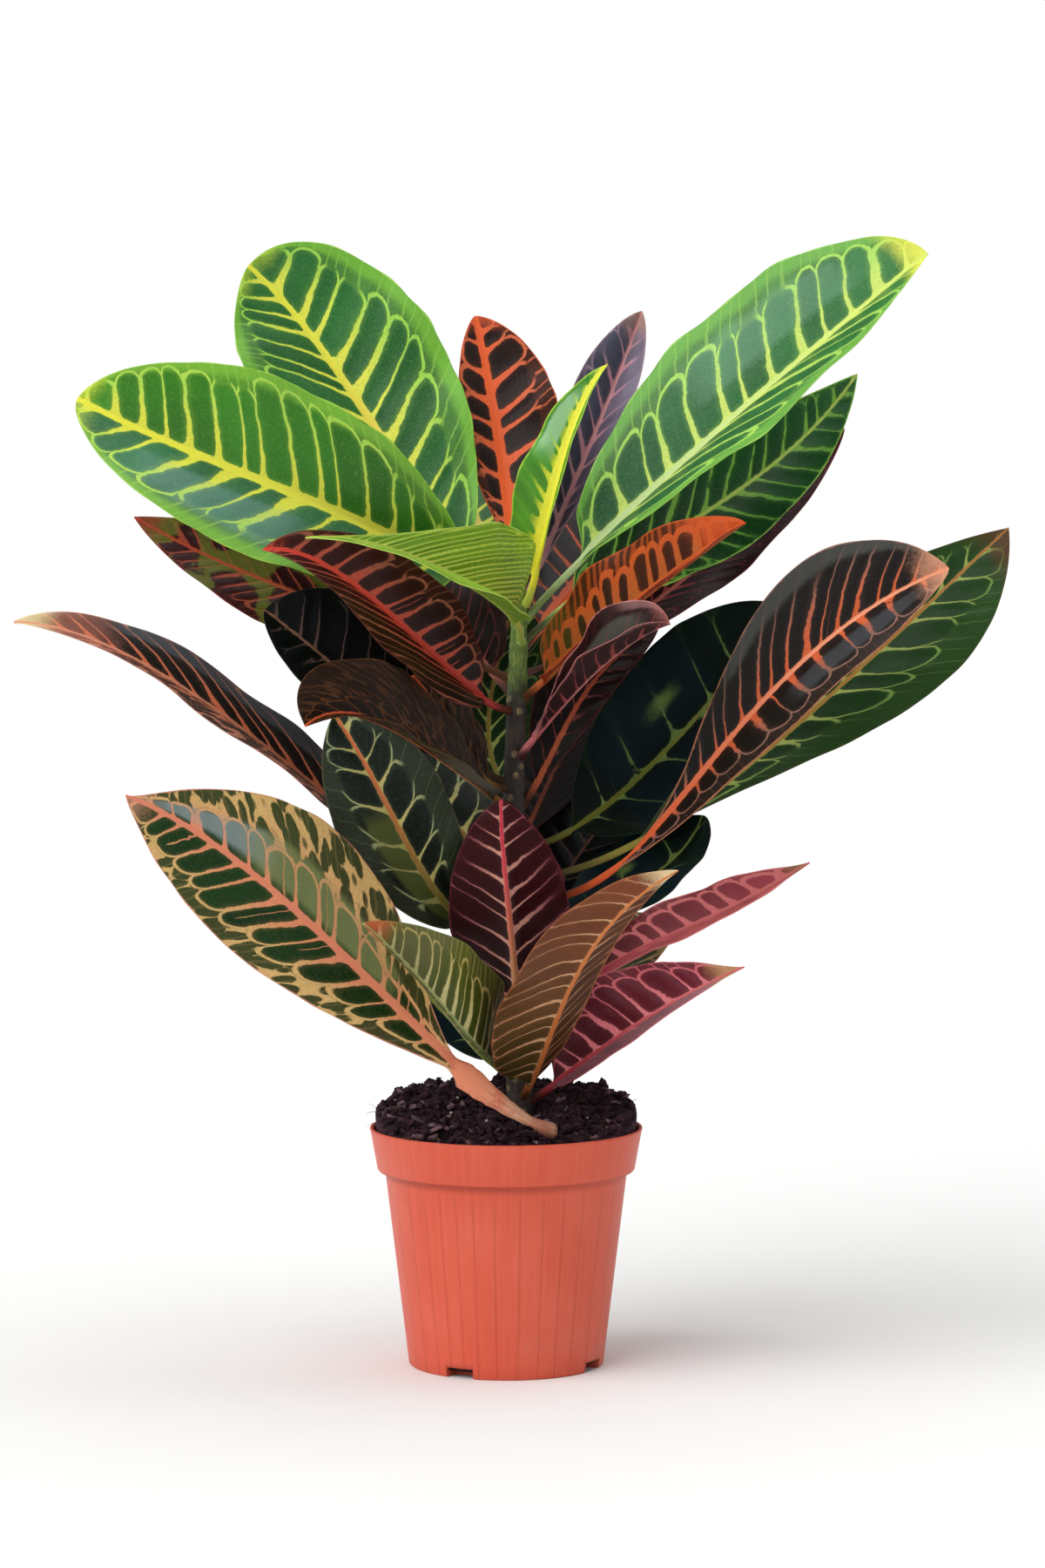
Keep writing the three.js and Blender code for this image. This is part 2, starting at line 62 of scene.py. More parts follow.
# name, where the light comes from, breadth in degrees, strength
LAMPS = [
    ("key", (-0.62, -0.5, 0.68), 60, 2.15),
    ("fill", (0.75, -0.6, 0.25), 50, 0.25),
    ("top", (0.1, 0.1, 1), 60, 1.3),
]


def colour(code):
    """Linear RGBA of an sRGB hex colour."""
    parts = [int(code[i:i + 2], 16) / 255 for i in (1, 3, 5)]
    return [c / 12.92 if c <= 0.04045 else ((c + 0.055) / 1.055) ** 2.4 for c in parts] + [1.0]


def new_material(name):
    """A material with its tree and its Principled shader."""
    material = bpy.data.materials.new(name)
    material.use_nodes = True
    tree = material.node_tree
    return material, tree, tree.nodes["Principled BSDF"]


def add(tree, kind, links=None, **settings):
    """One shader node with its settings, and each input set to a value or linked."""
    node = tree.nodes.new(kind)
    for key, value in settings.items():
        setattr(node, key, value)
    for key, value in (links or {}).items():
        socket = node.inputs[key]
        value = value.socket if isinstance(value, Field) else value
        if isinstance(value, bpy.types.NodeSocket):
            tree.links.new(value, socket)
        else:
            socket.default_value = value
    return node


class Field:
    """A number that varies over a surface: arithmetic on it adds Math nodes."""

    def __init__(self, tree, socket):
        self.tree = tree
        self.socket = socket

    def math(self, operation, *others, clamp=False):
        inputs = dict(enumerate((self,) + others))
        node = add(self.tree, "ShaderNodeMath", inputs, operation=operation, use_clamp=clamp)
        return Field(self.tree, node.outputs[0])

    def __add__(self, other):
        return self.math("ADD", other)

    def __sub__(self, other):
        return self.math("SUBTRACT", other)

    def __rsub__(self, other):
        return (self * -1.0) + other

    def __mul__(self, other):
        return self.math("MULTIPLY", other)

    def __truediv__(self, other):
        return self.math("DIVIDE", other)

    __radd__ = __add__
    __rmul__ = __mul__

    def step(self, low, high):
        """0 below low, 1 above high, smooth between; high may be below low."""
        node = add(self.tree, "ShaderNodeMapRange", {0: self, 1: low, 2: high, 3: 0.0, 4: 1.0},
                   interpolation_type="SMOOTHSTEP")
        return Field(self.tree, node.outputs[0])


def build_stage():
    bm = bmesh.new()
    bmesh.ops.create_grid(bm, x_segments=1, y_segments=1, size=FLOOR_REACH)
    mesh = bpy.data.meshes.new("floor")
    bm.to_mesh(mesh)
    bm.free()
    floor = bpy.data.objects.new("floor", mesh)
    bpy.context.collection.objects.link(floor)
    # painted board: matt and nearly white, so that it takes only soft shadows
    material, _, shader = new_material("studio_floor")
    shader.inputs["Base Color"].default_value = colour("#f7f7f6")
    shader.inputs["Roughness"].default_value = 0.9
    shader.inputs["Specular IOR Level"].default_value = 0.1
    mesh.materials.append(material)
    world = bpy.data.worlds.new("studio")
    world.use_nodes = True
    tree = world.node_tree
    around = tree.nodes["Background"]
    around.inputs["Color"].default_value = colour("#ffffff")
    seen = Field(tree, add(tree, "ShaderNodeLightPath").outputs["Is Camera Ray"])
    tree.links.new((seen * (1 - SURROUND_LIGHT) + SURROUND_LIGHT).socket, around.inputs["Strength"])
    bpy.context.scene.world = world
    for name, source, breadth, strength in LAMPS:
        lamp = bpy.data.lights.new(name, "SUN")
        lamp.angle = math.radians(breadth)
        lamp.energy = strength
        light = bpy.data.objects.new(name, lamp)
        light.rotation_mode = "QUATERNION"
        light.rotation_quaternion = (-Vector(source)).to_track_quat("-Z", "Y")
        bpy.context.collection.objects.link(light)
    bpy.context.scene.view_settings.view_transform = "Standard"


build_stage()


# ---- Leaves: each is one grown piece, a round stalk that opens into a leathery, waxy blade with a
# strong midrib. They stand in a spiral round one shoot and are held in its bark by the stalk's
# widened foot. Sizes are millimetres, read against the pot.

# The shoot's axis and its radii there, from the soil to its tip.
STEM_AXIS = [[8, 2, 40], [5, 1, 150], [3, 1, 240], [5, 0, 300], [6, 0, 342]]
STEM_RADII = [6.5, 5.7, 5, 4.6, 3]

# Height at which each leaf leaves the shoot. leaf_24 is cut off: its stalk lies out over the soil.
LEAVING = {
    "leaf_01": 330, "leaf_02": 335, "leaf_03": 339, "leaf_04": 335, "leaf_05": 332, "leaf_06": 328,
    "leaf_07": 318, "leaf_08": 305, "leaf_09": 294, "leaf_10": 318, "leaf_11": 289, "leaf_12": 302,
    "leaf_13": 269, "leaf_14": 245, "leaf_15": 205, "leaf_16": 215, "leaf_17": 227, "leaf_18": 256,
    "leaf_19": 196, "leaf_20": 247, "leaf_21": 190, "leaf_22": 255, "leaf_23": 160, "leaf_25": 128,
    "leaf_26": 140, "leaf_27": 119, "leaf_28": 116, "leaf_29": 142, "leaf_30": 328, "leaf_31": 314,
    "leaf_32": 294, "leaf_33": 250, "leaf_34": 224, "leaf_35": 203, "leaf_36": 178, "leaf_37": 136,
    "leaf_38": 134,
}
CUT_FOOT = (22, -40, 109)
# radii of the cut stalk, and the shares along it where they hold
CUT_RADII = (3.8, 2.2, 3.8, 5.8)
CUT_SHARES = (0, 0.3, 0.65, 1)

# Look, width and stalk, the fold in degrees of both halves or of the left and right one, the
# outline's powers towards base and tip, again for both halves or for each, the way the upper side
# faces, and three points of the midrib, the last of them the tip.
LEAVES = {
    "leaf_01": ("sunny", 88, 30, 22, (0.75, 0.6), (0.16, -0.91, 0.37),
                ((-53, -34, 366), (-117, -60, 394), (-180, -72, 423))),
    "leaf_02": ("green", 94, 30, 20, (0.75, 0.5), (0.3, -0.93, 0.22),
                ((-31, 18, 371), (-72, 40, 432), (-115, 46, 484))),
    "leaf_03": ("ember", 58, 22, 10, (0.9, 0.7), (0.05, -0.9, 0.3),
                ((1, 26, 378), (-6, 44, 422), (-14, 52, 462))),
    "leaf_04": ("lime", 34, 14, 35, ((0.5, 0.9), (0.8, 0.7)), (-0.54, -0.82, 0.19),
                ((14, -10, 355), (25, -14, 399), (44, -8, 439))),
    "leaf_05": ("slate", 38, 24, 35, (1.6, 0.75), (-0.1, -1, 0.1),
                ((23, 46, 370), (46, 68, 425), (61, 74, 465))),
    "leaf_06": ("green_pale", 94, 34, 25, (0.75, 0.6), (-0.51, -0.63, 0.59),
                ((53, 4, 374), (117, 4, 431), (183, -6, 487))),
    "leaf_07": ("green_deep", 54, 28, 15, (0.8, 0.9), (-0.22, -0.94, 0.26),
                ((57, 26, 355), (110, 40, 389), (156, 40, 436))),
    "leaf_08": ("wine", 42, 28, 20, (0.8, 0.7), (-0.33, -0.87, 0.37),
                ((54, 34, 326), (105, 58, 366), (152, 64, 412))),
    "leaf_09": ("ember_fine", 48, 14, 40, (0.6, 0.7), (-0.46, -0.64, 0.61),
                ((41, -32, 324), (74, -54, 351), (101, -72, 371))),
    "leaf_10": ("lime_striped", 70, 18, 38, ((0.9, 1.1), (0.32, 2.1)), (0.24, -0.74, 0.63),
                ((-4, -33, 337), (-43, -74, 358), (-83, -98, 365))),
    "leaf_11": ("scarlet", 52, 20, 25, (0.7, 0.9), (0.31, -0.82, 0.48),
                ((-26, -38, 309), (-63, -70, 344), (-101, -92, 360))),
    "leaf_12": ("wine_blotched", 44, 30, 15, (0.8, 0.9), (0.17, -0.91, 0.39),
                ((-50, 0, 324), (-107, -8, 346), (-161, -16, 373))),
    "leaf_13": ("wine_sheen", 36, 14, 50, (1.8, 0.5), (-0.52, -0.5, 0.69),
                ((22, -40, 291), (44, -68, 314), (69, -86, 329))),
    "leaf_14": ("wine_dark", 42, 14, 10, (0.8, 0.6), (-0.13, -0.98, 0.11),
                ((22, 0, 273), (38, 6, 300), (67, 10, 326))),
    "leaf_15": ("coal", 66, 44, 25, ((2.6, 0.85), (1.2, 0.6)), (-0.35, -0.85, 0.4),
                ((60, -32, 234), (111, -54, 296), (187, -70, 352))),
    "leaf_16": ("forest", 62, 50, 8, ((1.2, 1), (2.2, 0.9)), (-0.11, -0.98, 0.13),
                ((69, 12, 236), (142, 18, 293), (221, 14, 368))),
    "leaf_17": ("forest_dark", 76, 30, 8, (0.8, 0.6), (-0.19, -0.97, 0.18),
                ((42, 34, 242), (82, 60, 278), (128, 76, 330))),
    "leaf_18": ("night", 68, 26, 12, (0.8, 0.6), (0.21, -0.94, 0.27),
                ((-42, -10, 283), (-76, -20, 310), (-104, -28, 333))),
    "leaf_19": ("slate_salmon", 48, 40, 16, (0.8, 0.8), (0.43, -0.41, 0.81),
                ((-65, -12, 241), (-137, -42, 299), (-208, -66, 329))),
    "leaf_20": ("umber", 50, 18, 40, ((0.8, 0.6), (1.1, 0.4)), (0.19, -0.71, 0.68),
                ((-23, -46, 267), (-55, -78, 288), (-83, -104, 287))),
    "leaf_21": ("forest_net", 52, 22, 10, (0.8, 0.6), (0.15, -0.98, 0.09),
                ((-27, -20, 206), (-49, -38, 245), (-73, -54, 289))),
    "leaf_22": ("umber", 28, 16, 20, (0.8, 0.6), (0.42, -0.87, 0.27),
                ((-13, -18, 263), (-26, -28, 284), (-40, -38, 305))),
    "leaf_23": ("forest_dark", 52, 26, 20, (0.8, 0.6), (-0.54, -0.64, 0.55),
                ((38, 20, 193), (69, 34, 215), (88, 44, 239))),
    "leaf_24": ("netted", 82, 56, (10, -8), ((1.2, 0.75), (1.9, 1.45)), (0.24, -0.93, 0.29),
                ((-27, -76, 148), (-90, -86, 210), (-158, -100, 258))),
    "leaf_25": ("olive", 58, 14, 34, ((1.6, 0.8), (0.6, 0.8)), (0.52, -0.71, 0.48),
                ((-13, -46, 146), (-31, -84, 173), (-59, -116, 206))),
    "leaf_26": ("plum", 54, 14, 12, (0.7, 0.7), (0, 1, 0.3),
                ((4, -24, 174), (0, -38, 217), (-2, -40, 252))),
    "leaf_27": ("bronze", 58, 14, 2, (0.6, 0.9), (-0.42, 0.85, 0.33),
                ((19, -44, 152), (37, -78, 193), (72, -104, 227))),
    "leaf_28": ("rose", 58, 14, 20, (0.6, 1.15), (-0.37, -0.68, 0.63),
                ((34, -14, 135), (62, -32, 157), (102, -52, 181))),
    "leaf_29": ("pink", 34, 26, 20, (0.9, 1), (-0.38, -0.57, 0.73),
                ((45, 0, 175), (83, -8, 195), (132, -18, 223))),
    "leaf_30": ("green", 76, 26, 12, (0.75, 0.6), (0.15, -0.9, 0.6),
                ((-11, 62, 363), (-27, 108, 403), (-44, 138, 434))),
    "leaf_31": ("ember", 74, 26, 15, (0.8, 0.6), (-0.3, -0.8, 0.7),
                ((36, 68, 348), (69, 114, 383), (105, 150, 408))),
    "leaf_32": ("wine", 70, 26, 15, (0.8, 0.6), (0.3, -0.7, 0.8),
                ((-24, 58, 321), (-57, 104, 345), (-91, 140, 360))),
    "leaf_33": ("forest", 66, 12, 15, (0.55, 0.6), (0, -0.8, 0.7),
                ((-8, 44, 278), (-2, 84, 314), (8, 116, 350))),
    # leaf_34 and leaf_36 at the back take the near-black looks wine_dark and night as painted shade of the plant's
    # shaded back
    "leaf_34": ("wine_dark", 66, 18, 15, (0.8, 0.6), (-0.3, -0.7, 0.8),
                ((18, 59, 250), (35, 101, 280), (56, 136, 304))),
    "leaf_35": ("forest_net", 66, 18, 15, (0.8, 0.6), (0.3, -0.7, 0.8),
                ((-18, 48, 228), (-44, 88, 252), (-72, 120, 266))),
    "leaf_36": ("night", 64, 18, 15, (0.8, 0.6), (0, -0.7, 0.8),
                ((22, 48, 204), (44, 86, 232), (68, 118, 250))),
    "leaf_37": ("forest_dark", 50, 12, 15, (0.6, 0.6), (0.1, -0.97, 0.25),
                ((-12, 22, 138), (-34, 32, 158), (-62, 42, 184))),
    "leaf_38": ("netted", 58, 22, 15, (0.8, 0.6), (-0.3, -0.6, 0.9),
                ((29, 46, 155), (53, 84, 174), (78, 116, 183))),
}
# Widths of the left and the right half where they differ, as shares of the half width above.
SIDES = {
    "leaf_03": (0.55, 1), "leaf_04": (1, 0.35), "leaf_05": (1, 0.75), "leaf_14": (1, 0.5),
    "leaf_15": (1, 0.88), "leaf_18": (0.55, 1), "leaf_24": (0.83, 1), "leaf_25": (0.45, 1),
    "leaf_27": (0.45, 1), "leaf_28": (1, 0.45), "leaf_29": (1, 0.6), "leaf_37": (0.45, 1),
}
# Looks: cell colours from base to tip (cell_right for the half right of the midrib), vein colours
# from midrib to margin, midrib colours from base to tip, margin, tip with its share along the
# blade, stalk and fibre colours. Millimetres: spacing of the veins, half widths of vein (line) and
# midrib, and mesh, the size of the small cells near the margin. Pairs hold the left and the right
# half: slope in degrees to the midrib (below 0 it runs back), dense against the spacing, end of the
# main cells and reach of the veins as shares of the half width. Shares from 0 to 1: round corners
# of the cells, open and split cells, broken veins, fringe of twigs and blobs of net beyond the
# cells, gloss, and dull for the underside. Flare widens a vein at the midrib. Patches: colour,
# side, shares across and along the blade, strength.
# Some patches, and the rose look's pale right half, are painted sheen: greyer, bluer or paler colour where the waxy
# skin would reflect light.
LOOKS = {
    "sunny": dict(cell=("#2d6a42", "#357a50"), cell_right=("#2c7418", "#3a8a1e"), vein=("#f2f04e", "#b8e458"),
        rib=("#f0ea50", "#f6f24a"), margin="#d2ee6a", tip=("#d8ea4a", 0.98), spacing=12.5, line=0.6, midrib=3.0,
        slope=(52, 66), end=(0.84, 0.9), dense=(0.75, 1.05), reach=(1.4, 1.3), open=0.5,
        stalk=("#a8b848", 0.6),
        patches=[("#8ccc40", "both", (0.86, 1.3), (0.0, 1.1), 0.6),
                 # painted sheen: a bluish-grey patch on the left half
                 ("#7fa8a4", "left", (0.3, 0.8), (0.45, 0.8), 0.3)]),
    "green": dict(cell=("#1d6128", "#2a7034"), vein=("#f0f056", "#a4dc54"), rib=("#ecc45a", "#f2ee4a"),
        margin="#c8e868", tip=("#b8dc48", 0.97), spacing=13, line=0.62, midrib=2.7, slope=(50, 66),
        end=(0.8, 0.82), dense=(1.15, 0.9), reach=(1.3, 1.3), flare=1.5, open=0.5, stalk=("#6c7a34", 0.8),
        patches=[("#86cc40", "both", (0.84, 1.3), (0.0, 1.1), 0.6)]),
    "green_pale": dict(cell=("#155c30", "#257434"), vein=("#d6ea70", "#acde60"), rib=("#c2d89a", "#d8e870"),
        margin="#c4e86c", tip=("#eef05a", 0.95), spacing=14, line=0.66, midrib=2.5, slope=(68, 40),
        end=(0.8, 0.9), dense=(0.95, 0.75), reach=(1.4, 1.4), flare=1.5, open=0.5, stalk=("#6c7a34", 0.8),
        patches=[("#7cc44a", "both", (0.84, 1.3), (0.0, 1.1), 0.55),
                 # painted sheen: a pale bluish-green patch on the left half
                 ("#8cc0a0", "left", (0.3, 0.75), (0.45, 0.85), 0.25)]),
    "green_deep": dict(cell=("#0a2a12", "#1c5c2a"), vein=("#8fc24e", "#79b84a"), rib=("#b9cf6a", "#d0e070"),
        margin="#a4dc54", spacing=11, line=0.5, midrib=1.1, slope=(45, 60), end=(0.9, 1.1), reach=(1.0, 1.1),
        broken=0.35, fringe=0.2),
    "ember": dict(cell=("#181312", "#241a18"), vein=("#f46a3c", "#e0704a"), rib=("#f2642c", "#ee6638"),
        margin="#e0643a", tip=("#e0603a", 0.96), spacing=12.5, line=0.7, midrib=3.0, slope=(62, 66),
        end=(0.85, 0.85), reach=(1.5, 1.5), flare=1.2, open=0.6, fringe=0.7, gloss=0.14),
    "ember_fine": dict(cell=("#1c1c0c", "#4a1e0c"), vein=("#c26a30", "#cc5a26"), rib=("#c86c34", "#d45a26"),
        margin="#d05a26", tip=("#d05a26", 0.8), spacing=9, line=1.25, midrib=2.6, slope=(66, 30),
        end=(0.72, 0.3), reach=(1.6, 1.6), flare=0.4, fringe=0.5, round=0.34, gloss=0.14,
        patches=[("#b43c1e", "right", (0.3, 1.1), (0.0, 1.0), 0.85),
                 ("#6c6a24", "left", (0.0, 1.1), (0.0, 0.25), 0.35)]),
    "lime": dict(cell=("#5aa024", "#3a9030"), vein=("#e6e83a", "#86c034"), rib=("#f6ee3a", "#f6f25a"),
        margin="#b9e04a", tip=("#c8e860", 0.94), spacing=7, line=0.55, midrib=3.8, slope=(50, 50),
        end=(1.3, 1.3), reach=(0.5, 0.5), flare=3.2, fringe=0.1, stalk=("#9ab45c", 0.6),
        # painted sheen: a pale whitish-green patch on the left half
        patches=[("#b4e0b0", "left", (0.3, 0.85), (0.55, 0.85), 0.6)]),
    "lime_striped": dict(cell=("#7cac24", "#68a01c"), vein=("#d8ea68", "#c0e050"), rib=("#d8e070", "#c8dc60"),
        margin="#c8e468", spacing=4.4, line=0.5, midrib=1.1, slope=(-30, -30), end=(1.1, 1.1), reach=(1.6, 1.6),
        flare=0.3, stalk=("#9ab45c", 0.6)),
    "slate": dict(cell=("#1a1c28", "#54566c"), cell_right=("#3a3240", "#80748a"), vein=("#d0909a", "#a88c9c"),
        rib=("#c88c90", "#d89a9c"), margin="#a88a98", tip=("#b08a7a", 0.93), spacing=12, line=0.5, midrib=1.5,
        slope=(42, 42), end=(0.9, 1.1), reach=(0.8, 0.6), broken=0.2, fringe=0.2),
    "slate_salmon": dict(cell=("#120f0e", "#201a1a"), cell_right=("#14110f", "#1e1a1a"),
        vein=("#ea7e56", "#dc8a6c"), rib=("#b8643c", "#e89a7c"), margin="#c08474", tip=("#ecd8a0", 0.93),
        spacing=11, line=0.5, midrib=1.6, slope=(45, 30), end=(0.3, 1.1), reach=(1.4, 0.9), broken=0.12,
        fringe=0.1, blobs=1.0, mesh=5, dense=(0.9, 0.8), gloss=0.16,
        # painted sheen: a grey band along the right half's margin; the salmon patch at the tip is the leaf's own
        # colour
        patches=[("#5c6068", "right", (0.62, 1.2), (0.05, 0.8), 0.6),
                 ("#e08c78", "both", (0.0, 1.2), (0.82, 1.1), 0.35)]),
    "scarlet": dict(cell=("#140806", "#380c0a"), vein=("#c4523e", "#9a5a44"), rib=("#b03a34", "#e04a38"),
        margin="#5c2c20", tip=("#b8402c", 0.96), spacing=9.5, line=0.55, midrib=2.1, slope=(20, -62),
        end=(1.1, 0.86), reach=(1.3, 1.2), dense=(0.8, 0.95), flare=1.2, open=0.35, split=0.2, gloss=0.13),
    "wine": dict(cell=("#1a0a0c", "#38101a"), vein=("#a84444", "#6e282e"), rib=("#c87060", "#b0504a"),
        margin="#6e262a", spacing=8, line=0.4, midrib=1.0, slope=(42, 42), end=(0.88, 0.88), reach=(0.9, 0.9),
        broken=0.35, fringe=0.3, gloss=0.14),
    "wine_dark": dict(cell=("#0a0605", "#1c070a"), vein=("#66302a", "#3c1618"), rib=("#a85434", "#7c3024"),
        margin="#4a1a1a", spacing=9, line=0.35, midrib=1.2, slope=(42, 42), end=(1.0, 1.0), reach=(0.7, 0.7),
        broken=0.45, fringe=0.1, gloss=0.1),
    "wine_sheen": dict(cell=("#1c0a0c", "#2a1012"), vein=("#a84a4a", "#8a3c40"), rib=("#e0787c", "#e09a94"),
        margin="#d0807c", tip=("#c07a74", 0.97), spacing=9, line=0.3, midrib=1.0, slope=(42, 42),
        end=(1.0, 1.0), reach=(0.4, 0.8), broken=0.3, fringe=0.1, gloss=0.16,
        # painted sheen: the grey-green patch on the left half; the pink patch at the tip is the leaf's own colour
        patches=[("#66665c", "left", (0.1, 0.62), (0.35, 0.9), 0.55),
                 ("#a87874", "both", (0.75, 1.2), (0.85, 1.1), 0.5)]),
    "wine_blotched": dict(cell=("#1c0c0e", "#38121a"), vein=("#a84a34", "#a8503a"), rib=("#b86a40", "#b84a30"),
        margin="#8a3426", tip=("#903828", 0.94), spacing=8, line=0.42, midrib=1.0, slope=(40, 40),
        end=(0.9, 0.9), reach=(0.8, 0.9), broken=0.3, blotch="#6c7028", gloss=0.13),
    "coal": dict(cell=("#090c08", "#1c1817"), vein=("#d8663c", "#8a6456"), rib=("#e0602f", "#f0a07a"),
        margin="#c07a58", tip=("#e0a080", 0.96), spacing=9.5, line=0.36, midrib=1.7, slope=(46, 84),
        end=(1.2, 0.84), dense=(1.0, 0.72), reach=(0.9, 1.6), broken=0.16, flare=1.6, fringe=0.1, gloss=0.13,
        # painted sheen: the grey band along the left half's margin
        patches=[("#60625e", "left", (0.78, 1.2), (0.5, 0.98), 0.4),
                 ("#4c5054", "right", (0.28, 0.66), (0.6, 0.95), 0.5)]),
    "forest": dict(cell=("#0c2a10", "#1c4416"), vein=("#a8b460", "#72984a"), rib=("#94863c", "#b8743a"),
        margin="#4c4a24", tip=("#5a3820", 0.93), spacing=15, line=0.4, midrib=1.0, slope=(38, 42),
        end=(0.72, 0.66), reach=(0.6, 0.95), broken=0.15, open=0.45, round=0.5, fringe=0.25, gloss=0.16),
    "forest_dark": dict(cell=("#050e0a", "#08201a"), vein=("#84a054", "#5c7c40"), rib=("#76742c", "#98a452"),
        margin="#1c3422", spacing=24, line=0.36, midrib=1.2, slope=(72, 60), end=(1.2, 1.2), round=0.6,
        flare=0.0, reach=(0.62, 0.5), broken=0.4, fringe=0.1, gloss=0.12,
        # painted sheen: the dark bluish patch over the middle; the light green blotch is the leaf's own colour
        patches=[("#102430", "both", (0.1, 0.95), (0.2, 0.7), 0.55),
                 ("#94b058", "left", (0.36, 0.5), (0.5, 0.56), 0.8)]),
    "night": dict(cell=("#050606", "#0a100f"), vein=("#6c524c", "#40383a"), rib=("#8c5a4a", "#a07058"),
        margin="#28342a", spacing=12, line=0.32, midrib=0.8, slope=(56, 62), end=(0.9, 0.9), reach=(0.7, 0.8),
        broken=0.35, open=1.0, fringe=0.1, gloss=0.1),
    "forest_net": dict(cell=("#070f08", "#0b1a14"), vein=("#ccc074", "#a4b484"), rib=("#7c7c34", "#d86e40"),
        margin="#5c563c", spacing=17, line=0.42, midrib=1.5, slope=(48, 52), end=(0.74, 0.68), reach=(1.0, 1.0),
        broken=0.25, open=0.9, fringe=0.1, gloss=0.13,
        patches=[("#5c662c", "left", (0.0, 0.5), (0.02, 0.6), 0.7)]),
    "umber": dict(cell=("#160c08", "#26160e"), vein=("#7a4c2a", "#523420"), rib=("#8c602e", "#ee6e42"),
        margin="#5c3a22", spacing=9, line=0.2, midrib=1.5, slope=(30, 30), end=(0.3, 0.3), reach=(1.2, 1.2),
        broken=0.2, fringe=0.1, blobs=0.6, mesh=2.6, gloss=0.12,
        patches=[("#54502c", "left", (0.05, 1.1), (0.0, 0.6), 0.5)]),
    "netted": dict(cell=("#0f2c08", "#143c18"), vein=("#e8906a", "#d8b070"), rib=("#e08464", "#e08468"),
        margin="#e09478", tip=("#e09a80", 0.96), spacing=12.5, line=0.6, midrib=2.0, slope=(55, 55),
        end=(0.82, 0.5), reach=(1.6, 1.6), dense=(1.0, 1.0), flare=0.9, fringe=0.1, blobs=1.0, mesh=6.5,
        gloss=0.16, split=0.25, stalk=("#cca482", 0.9), fibre="#b8483c",
        # painted sheen: the grey-blue and grey-green bands on the right half; the orange patch on the stalk is its
        # own colour
        patches=[("#8c9a98", "right", (0.14, 0.48), (0.66, 0.95), 0.7),
                 ("#848c58", "right", (0.08, 0.5), (0.28, 0.7), 0.65),
                 ("#d0603c", "both", (0.0, 1.2), (-0.5, 0.06), 0.5)]),
    "olive": dict(cell=("#3c4a10", "#5c6620"), vein=("#e0d694", "#c8b86c"), rib=("#9cb874", "#a8b070"),
        margin="#7c8c44", tip=("#c8603a", 0.92), spacing=9, line=0.46, midrib=1.4, slope=(48, 48),
        end=(0.8, 0.8), reach=(1.3, 1.3), open=0.5, fringe=0.5, gloss=0.12,
        patches=[("#6c6844", "both", (-0.1, 1.2), (0.68, 0.9), 0.6),
                 ("#4c4428", "left", (0.0, 1.2), (0.0, 0.9), 0.6)]),
    "plum": dict(cell=("#1e0506", "#3c0a0e"), vein=("#d89a88", "#94505a"), rib=("#cc9c62", "#d83850"),
        margin="#702632", spacing=9.5, line=0.34, midrib=1.4, slope=(60, 60), end=(1.1, 1.1),
        reach=(0.92, 0.92), flare=1.2, fringe=0.2, gloss=0.1, dull=0.1),
    "bronze": dict(cell=("#40240e", "#5c3018"), cell_right=("#463a1a", "#804226"), vein=("#d0a078", "#b8805a"),
        rib=("#b06030", "#d47c3c"), margin="#a05c38", tip=("#ecd4a4", 0.93), spacing=8.5, line=0.28, midrib=1.2,
        slope=(30, -65), end=(1.1, 1.15), reach=(0.8, 1.5), flare=0.6, fringe=0.3, gloss=0.12, dull=0.1),
    # rose: the pale mauve-grey cell_right of the smooth right half is painted sheen over the maroon
    "rose": dict(cell=("#460c18", "#6a1a2a"), cell_right=("#7c4c54", "#a2767c"), vein=("#dc7a80", "#c8646c"),
        rib=("#9c2834", "#d06a6c"), margin="#c86468", tip=("#b88a5c", 0.86), spacing=10.5, line=0.45,
        midrib=1.3, slope=(-62, 30), end=(0.88, 0.9), reach=(1.5, 0.1), fringe=0.8, gloss=0.15, dull=0.1),
    "pink": dict(cell=("#4c0c16", "#a84650"), cell_right=("#b8545a", "#d46e70"), vein=("#e0787a", "#e07c7c"),
        rib=("#a83040", "#e07c78"), margin="#e07c7c", tip=("#a8845c", 0.93), spacing=11, line=0.75, midrib=1.4,
        slope=(-60, 40), end=(0.86, 0.9), reach=(1.5, 0.2), round=0.3, fringe=0.3, gloss=0.15, dull=0.1),
}
COMMON = dict(flare=1.6, fringe=0.4, blobs=0.0, mesh=3.3, round=0.42, open=0.0, broken=0.0, split=0.0,
    # the default stalk colour, a dark brown towards the shoot, is partly the stalk's own colour and partly painted
    # shade of the plant's centre
    dense=(1, 1), tip=None, blotch=None, fibre=None, patches=(), gloss=0.24, dull=0.4, stalk=("#33281a", 0.85))
# The columns of a blade's grid on its upper side and its underside, and its rows.
UPPER_COLUMNS = 44
UNDER_COLUMNS = 24
STALK_ROWS = 24
BLADE_ROWS = 150
STALK_RADIUS = 1.6
THICKNESS = 0.62
# the narrowest half width, the last column inside the margin, the points of a midrib's curve, and
# the share of the shoot's radius at which a stalk begins
LEAST_HALF, LAST_COLUMN, PATH_POINTS, SUNK = 0.35, 0.985, 481, 0.55
# the upturned start of each half at the midrib, and how far it bends back over the blade, in degrees
UPTURN = 8
DROOP = -32
# depths of a half's slow waves, its wrinkles, its smaller lumps and the quilting between the veins
WAVE, WRINKLE, LUMP, QUILT = 1.5, 0.8, 0.9, 0.16
# share by which the margin is ragged, and of the blade over which the stalk flattens into it
RAGGED = 0.022
OPENING = 0.08
# the cells of a right half are numbered from here on, and those of each leaf this much further
RIGHT_CELLS = 40.5
LEAF_CELLS = 7
# a stalk has shares along it below 0, down to this at its foot
FOOT_SHARE = -0.3
